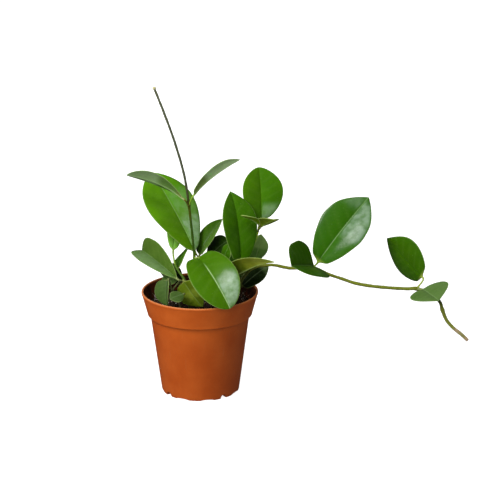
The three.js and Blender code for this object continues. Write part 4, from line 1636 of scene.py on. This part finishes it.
def grown_leaves(stems: dict[str, Stem]) -> list[Leaf]:
    """Every leaf with its own shape and colour, from the bottom of each stem to its top.

    Args:
        stems: the stems that they grow from.

    Returns:
        The leaves.
    """
    tall, right, vine = stems["tall_stem"], stems["right_stem"], stems["long_vine"]
    left, centre, low = stems["left_stem"], stems["centre_stem"], stems["low_stem"]
    tone, shine = LeafTone, Shine
    # Each leaf's name, stem and node, its base, its tip and the way it faces, then its width,
    # fold, arch, belly, shoulder and point, and its looks.
    # A strong pale rib is partly a painted highlight on the fold.
    # Blooms are pale wax laid where a leaf shows a whitish reflection, so partly painted sheen.
    return [
        Leaf(
            "leaf_tall_1_back", tall, 3, (-4.1, 4, 128.8), (-45.1, 44, 193.6), (0.45, -0.6, 0.65),
            53.8, 12, 19, 1.33, 0.55, 0.69, tone.FRESH, rib=0.35, rib_start=0.05,
            blooms_and_sheens=(BloomAndSheen(-1, 0.0, 0.4, 0.36), BloomAndSheen(-1, 0.4, 0.72, 0.1)),
            patches=(
                Patch((60, 96, 0), 0.5, side=1, stop=0.45),
                Patch((80, 140, 0), 0.8, side=-1, start=0.52, far=0.85),
                Patch((60, 100, 4), 0.5, side=-1, near=0.88),
            ),
        ),
        Leaf(
            "leaf_tall_1_front", tall, 3, (-1.5, -3, 126.5), (28, -52.5, 95), (-0.11, -0.6, 0.79),
            44, 28, 73, 1.19, 0.34, 0.55, tone.GRASS, shade=0.76, rim=0.8, rib=0.95, rib_start=0.3,
            blooms_and_sheens=(BloomAndSheen(1, 0.62, 0.95, 0.45),),
        ),
        Leaf(
            "leaf_tall_2_left", tall, 5, (-13.5, -7.5, 182.9), (-64.7, -2.5, 203.7), (0.25, 0.57, 0.77),
            30.1, 22, 37, 1.3, 0.84, 0.67, tone.SILVER, shine=shine.SATIN, shade=0.86,
            patches=(
                Patch((86, 124, 40), 0.8, stop=0.5, face=-1),
                Patch((108, 108, 40), 0.6, stop=0.16, face=-1),
            ),
        ),
        Leaf(
            "leaf_tall_2_right", tall, 5, (-5.1, -2, 184.6), (36.8, 9, 215.2), (-0.59, 0.49, 0.68),
            26.6, 26, 29, 1.37, 0.33, 0.76, tone.FROST, shine=shine.SATIN, shade=0.86,
            patches=(Patch((108, 134, 34), 0.8, stop=0.36, face=-1),),
        ),
        Leaf(
            "leaf_left_1_out", left, 2, (-19.2, -20.2, 111.5), (-54, 34, 122), (-0.33, -0.58, 0.72),
            33.5, 55, 32, 1.42, 0.55, 0.22, tone.PALE, blooms_and_sheens=(BloomAndSheen(1, 0.2, 0.8, 0.08),),
            patches=(Patch((70, 98, 24), 0.85, side=-1),),
        ),
        Leaf(
            "leaf_left_1_in", left, 2, (-13.6, -24.8, 111.7), (3.5, -27, 88), (-0.46, -0.89, -0.11),
            28, 21, 20, 0.78, 0.55, 0.86, tone.MOSS, shine=shine.DULL,
            patches=(Patch((128, 146, 44), 0.6, start=0.35, stop=0.62, far=0.6),),
        ),
        Leaf(
            "leaf_left_1_back", left, 2, (-17.8, 0, 100), (-35.5, 34, 110), (-0.2, -0.3, 1),
            18, 14, 30, 1.02, 0.6, 0.92, tone.DUSK, shine=shine.DULL, shade=1.5, veined=0.3,
        ),
        # Its shade lifts it out of the shadow of the leaf over it: painted light.
        Leaf(
            "leaf_left_2_up", left, 4, (-24, 3, 131.5), (-22, 42, 156), (0.15, -0.7, 0.67),
            15, 16, 11, 0.9, 0.6, 1, tone.FRESH, shade=1.4, blooms_and_sheens=(BloomAndSheen(0, 0.0, 1.0, 0.1),),
        ),
        Leaf(
            "leaf_left_2_back", left, 4, (-19.6, -6, 116.4), (-11.4, 21.5, 128.8), (-0.8, -0.24, 0.51),
            22.5, 17, 21, 0.85, 0.6, 0.98, tone.DEEP, shine=shine.SATIN,
        ),
        Leaf(
            "leaf_right_1_front", right, 3, (37, -17.5, 127), (28, 1.5, 187.8), (0.57, -0.75, 0.31),
            38.5, 24, 30, 1.16, 0.31, 0.92, tone.DEEP, shade=1.22, rib=0.0,
        ),
        # Its strong shade lifts it out of the shadow it sits in: painted light.
        Leaf(
            "leaf_right_1_back", right, 3, (49.5, 10, 119), (56, 15, 143.5), (0.58, -0.79, 0.14),
            24.5, 8, 9, 1.03, 0.52, 0.89, tone.ASHEN, shine=shine.SATIN, shade=2.5, rim=1.0,
            patches=(Patch((78, 124, 40), 0.8, stop=0.5),),
        ),
        Leaf(
            "leaf_right_2_out", right, 6, (56.3, 1, 155), (69, -12.5, 165), (-0.11, 0.54, 0.8),
            22.5, 23, 26, 0.99, 0.54, 1.03, tone.OLIVE, shine=shine.SATIN, rim=0.9,
            patches=(
                Patch((140, 166, 30), 0.85, face=-1), Patch((150, 104, 60), 0.5, start=0.9, face=-1),
            ),
        ),
        Leaf(
            "leaf_right_2_in", right, 5, (53.5, -12, 161), (37.5, -24, 172.7), (0.28, 0.42, 0.86),
            16, 19, 23, 1, 0.6, 1, tone.LIME, shine=shine.SATIN, rim=1.0,
        ),
        Leaf(
            "leaf_right_3_top", right, 6, (55.5, 11, 157.3), (53.7, 24, 204.2), (0.4, -0.86, 0.32),
            41.7, 25, 20, 1.11, 0.52, 0.6, tone.GRASS, rib=0.0, blooms_and_sheens=(BloomAndSheen(-1, 0.0, 0.3, 0.22),),
            patches=(Patch((56, 106, 0), 0.8, side=-1, start=0.3),),
        ),
        Leaf(
            "leaf_vine_1_up", vine, 2, (30.4, -21.4, 113.7), (67.2, -39.5, 133.9), (-0.09, 0.61, 0.79),
            32.5, 32, 31, 0.6, 0.59, 0.93, tone.OLIVE, shine=shine.SATIN, rim=0.8,
            patches=(
                Patch((70, 90, 2), 0.85, stop=0.38, face=-1),
                Patch((150, 160, 58), 0.7, start=0.6, face=-1),
            ),
        ),
        Leaf(
            "leaf_vine_1_down", vine, 2, (38.3, -8.5, 101), (62.5, 4.5, 117), (0.02, -0.77, 0.64),
            17.1, 16, 24, 0.96, 0.4, 0.75, tone.DUSK, shine=shine.DULL, shade=0.7, veined=0.3,
            patches=(Patch((84, 104, 62), 0.8, start=0.76),),
        ),
        Leaf(
            "leaf_vine_2_up", vine, 9, (106.6, -4, 121.7), (153.5, 16, 178.1), (-0.22, -0.84, 0.5),
            46.4, 23, 19, 1.16, 0.45, 0.89, tone.EMERALD, shade=0.74, rib=0.35, speckle=0.4,
            blooms_and_sheens=(BloomAndSheen(-1, 0.45, 0.92, 0.3), BloomAndSheen(1, 0.8, 0.95, 0.14)),
            patches=(Patch((44, 94, 0), 0.75, stop=0.34),),
        ),
        Leaf(
            "leaf_vine_2_front", vine, 9, (103.5, -8.5, 120), (82, -51, 134), (0.69, -0.14, 0.7),
            47.5, 36, 3, 0.86, 0.22, 0.22, tone.DEEP, shade=0.8, rim=0.9, speckle=0.5,
        ),
        Leaf(
            "leaf_vine_3_up", vine, 16, (202.2, -7.5, 109.2), (170.9, 20.5, 137.9),
            (-0.75, -0.65, -0.16),
            44.2, 3, 3, 0.92, 0.49, 0.92, tone.DEEP, rib=0.0, speckle=0.5,
        ),
        Leaf(
            "leaf_vine_3_front", vine, 16, (201.5, -14.5, 100.1), (213.7, -44.5, 99.4),
            (-0.3, -0.12, 0.95),
            39, 22, 11, 1.04, 0.5, 0.86, tone.PALE, shine=shine.SATIN, shade=0.8, rib=0.2,
        ),
        Leaf(
            "leaf_centre_2_left", centre, 3, (-0.6, 13, 123.6), (20.6, 25, 155), (-0.65, -0.4, 0.64),
            24.7, 26, 18, 1.04, 0.45, 0.72, tone.GRASS, shine=shine.SATIN, shade=0.5, rib=0.08,
            patches=(Patch((82, 116, 46), 0.6, side=-1),),
        ),
        Leaf(
            "leaf_centre_2_right", centre, 3, (7, 18.1, 119.8), (25.5, 17.7, 136.2),
            (-0.53, -0.48, 0.69),
            34, 7, 16, 1.08, 0.46, 0.34, tone.DUSK, shine=shine.DULL, shade=1.5, veined=0.3,
            patches=(Patch((40, 72, 8), 0.6, start=0.7),),
        ),
        Leaf(
            "leaf_centre_2_back", centre, 3, (-5, 30, 122.5), (-17, 66, 151), (-0.2, -0.4, 1),
            17, 14, 25, 1.1, 0.5, 0.8, tone.DEEP,
        ),
        Leaf(
            "leaf_centre_1_right", centre, 2, (20.5, 0.5, 119), (28, -4.5, 140.5), (-0.9, -0.4, 0.1),
            18.4, 10, 10, 1, 0.6, 1, tone.DEEP, shine=shine.SATIN, shade=1.1,
        ),
        Leaf(
            "leaf_centre_1_back", centre, 2, (12, 24, 102.2), (45, 46, 106.2), (0.1, -0.3, 1),
            44, 14, 30, 1.1, 0.5, 0.8, tone.DEEP,
        ),
        # Its shade lifts it out of the shadow of the leaf over it: painted light.
        Leaf(
            "leaf_low_left", low, 3, (-20, -6.5, 107.3), (-35.5, -8, 104.8), (0.05, -0.2, 1),
            23, 16, 22, 1, 0.6, 1, tone.SAGE, shine=shine.SATIN, shade=1.5, rim=0.9,
        ),
        Leaf(
            "leaf_low_front", low, 3, (-27.8, -22.5, 112.2), (-28.2, -30, 90.4), (-0.84, -0.54, 0.07),
            27.7, 36, 21, 0.8, 0.38, 0.58, tone.SAGE, shine=shine.SATIN, shade=0.92, rim=0.9,
        ),
        Leaf(
            "leaf_low_right", low, 2, (-13.9, -36.8, 103.2), (-25.8, -45.5, 101.2), (0.1, -0.6, 0.8),
            13.5, 8, 12, 1, 0.6, 1, tone.SAGE, shine=shine.SATIN, shade=0.92,
        ),
    ]


# ---- the studio ---------------------------------------------------------------------------


def aim(thing: Thing, target: Point) -> None:
    """Turns a camera or a light to look at a place."""
    way = Vector(target) - thing.location
    thing.rotation_euler = way.to_track_quat("-Z", "Y").to_euler()


@dataclass(frozen=True)
class Lamp:
    """A square soft light that looks at the plant.

    Its bearing is in degrees from -Y towards +X, its rise in degrees above the horizon, its
    power in watts and its side in metres. Glossy surfaces show it where it is mirrored.
    """

    name: str
    bearing: float
    rise: float
    power: float
    side: float
    mirrored: bool = False

    MIDDLE = (0.03, 0.0, 0.13)
    AWAY = 1.5

    def build(self) -> None:
        """Makes the light."""
        data = bpy.data.lights.new(self.name, "AREA")
        data.shape = "SQUARE"
        data.size = self.side
        data.energy = self.power
        lamp = bpy.data.objects.new(self.name, data)
        turn, lift = math.radians(self.bearing), math.radians(self.rise)
        flat = math.cos(lift)
        way = Vector((math.sin(turn) * flat, -math.cos(turn) * flat, math.sin(lift)))
        lamp.location = Vector(self.MIDDLE) + self.AWAY * way
        lamp.visible_glossy = self.mirrored
        bpy.context.scene.collection.objects.link(lamp)
        aim(lamp, self.MIDDLE)


@dataclass
class Studio:
    """The camera, the pale floor and the soft lights."""

    eye: Point = (0.0457, -1.7186, 0.6683)
    target: Point = (0.0457, 0.0, 0.133)
    lens: float = 143.06
    surround: float = 0.3
    mirrored: float = 0.05
    shown: float = 1.05
    floor_reach: float = 12.0
    lamps: tuple[Lamp, ...] = (
        Lamp("key", bearing=-48, rise=48, power=17.0, side=0.6, mirrored=True),
        Lamp("front", bearing=-28, rise=26, power=12.0, side=0.8),
        Lamp("top", bearing=0, rise=60, power=3.0, side=0.5),
        Lamp("back", bearing=104, rise=46, power=3.0, side=0.6),
        Lamp("behind", bearing=195, rise=12, power=11.0, side=0.8),
    )

    def camera(self) -> None:
        """Makes the scene's camera."""
        data = bpy.data.cameras.new("camera")
        data.lens = self.lens
        data.sensor_width = 36.0
        data.clip_start = 0.05
        data.clip_end = 60.0
        camera = bpy.data.objects.new("camera", data)
        camera.location = self.eye
        bpy.context.scene.collection.objects.link(camera)
        aim(camera, self.target)
        bpy.context.scene.camera = camera

    def world(self) -> None:
        """Makes the white surround, which lights the plant softly from everywhere."""
        world = bpy.data.worlds.new("surround")
        world.use_nodes = True
        tree = world.node_tree
        tree.nodes.clear()
        path = tree.nodes.new("ShaderNodeLightPath")
        last = None
        layers = ((None, self.surround), ("Is Glossy Ray", self.mirrored), ("Is Camera Ray", self.shown))
        for ray, strength in layers:
            layer = tree.nodes.new("ShaderNodeBackground")
            layer.inputs["Color"].default_value = (1.0, 1.0, 1.0, 1.0)
            layer.inputs["Strength"].default_value = strength
            if last is None:
                last = layer
                continue
            mix = tree.nodes.new("ShaderNodeMixShader")
            tree.links.new(path.outputs[ray], mix.inputs[0])
            tree.links.new(last.outputs[0], mix.inputs[1])
            tree.links.new(layer.outputs[0], mix.inputs[2])
            last = mix
        output = tree.nodes.new("ShaderNodeOutputWorld")
        tree.links.new(last.outputs[0], output.inputs["Surface"])
        bpy.context.scene.world = world

    def floor(self) -> None:
        """Makes the pale floor, which runs far past the plant on every side."""
        half = self.floor_reach
        mesh = bpy.data.meshes.new("floor")
        corners = [(-half, -half, 0), (half, -half, 0), (half, half, 0), (-half, half, 0)]
        mesh.from_pydata(corners, [], [(0, 1, 2, 3)])
        floor = bpy.data.objects.new("floor", mesh)
        bpy.context.scene.collection.objects.link(floor)
        bench = Bench("pale_floor", (0.42, 0.42, 0.42))
        bench.coat((0.44, 0.44, 0.44), bench.patches(400, 2.0, 0.3, 0.7))
        finish = bench.done(
            Roughness=0.9,
            Specular_IOR_Level=0.0,
            Emission_Color=(1.0, 1.0, 1.0),
            Emission_Strength=0.9,
        )
        mesh.materials.append(finish)
        floor.visible_diffuse = False
        floor.visible_glossy = False

    def build(self) -> None:
        """Sets up the camera first, then the light and the floor."""
        self.camera()
        self.world()
        for lamp in self.lamps:
            lamp.build()
        self.floor()
        scene = bpy.context.scene
        scene.view_settings.view_transform = "Standard"
        scene.view_settings.look = "None"
        scene.view_settings.exposure = 0.0
        scene.view_settings.gamma = 1.0


def main() -> None:
    """Builds the studio, then the pot, the soil, the stems and the leaves."""
    logging.basicConfig(level=logging.INFO, format="%(message)s", stream=sys.stdout)
    Studio().build()
    finishes = Finishes()
    pot = Pot()
    pot.build(finishes)
    PottingMix(pot).build(finishes)
    stems = grown_stems()
    for stem in stems.values():
        stem.build(finishes)
    for leaf in grown_leaves(stems):
        leaf.build(finishes)


if __name__ == "__main__":
    main()
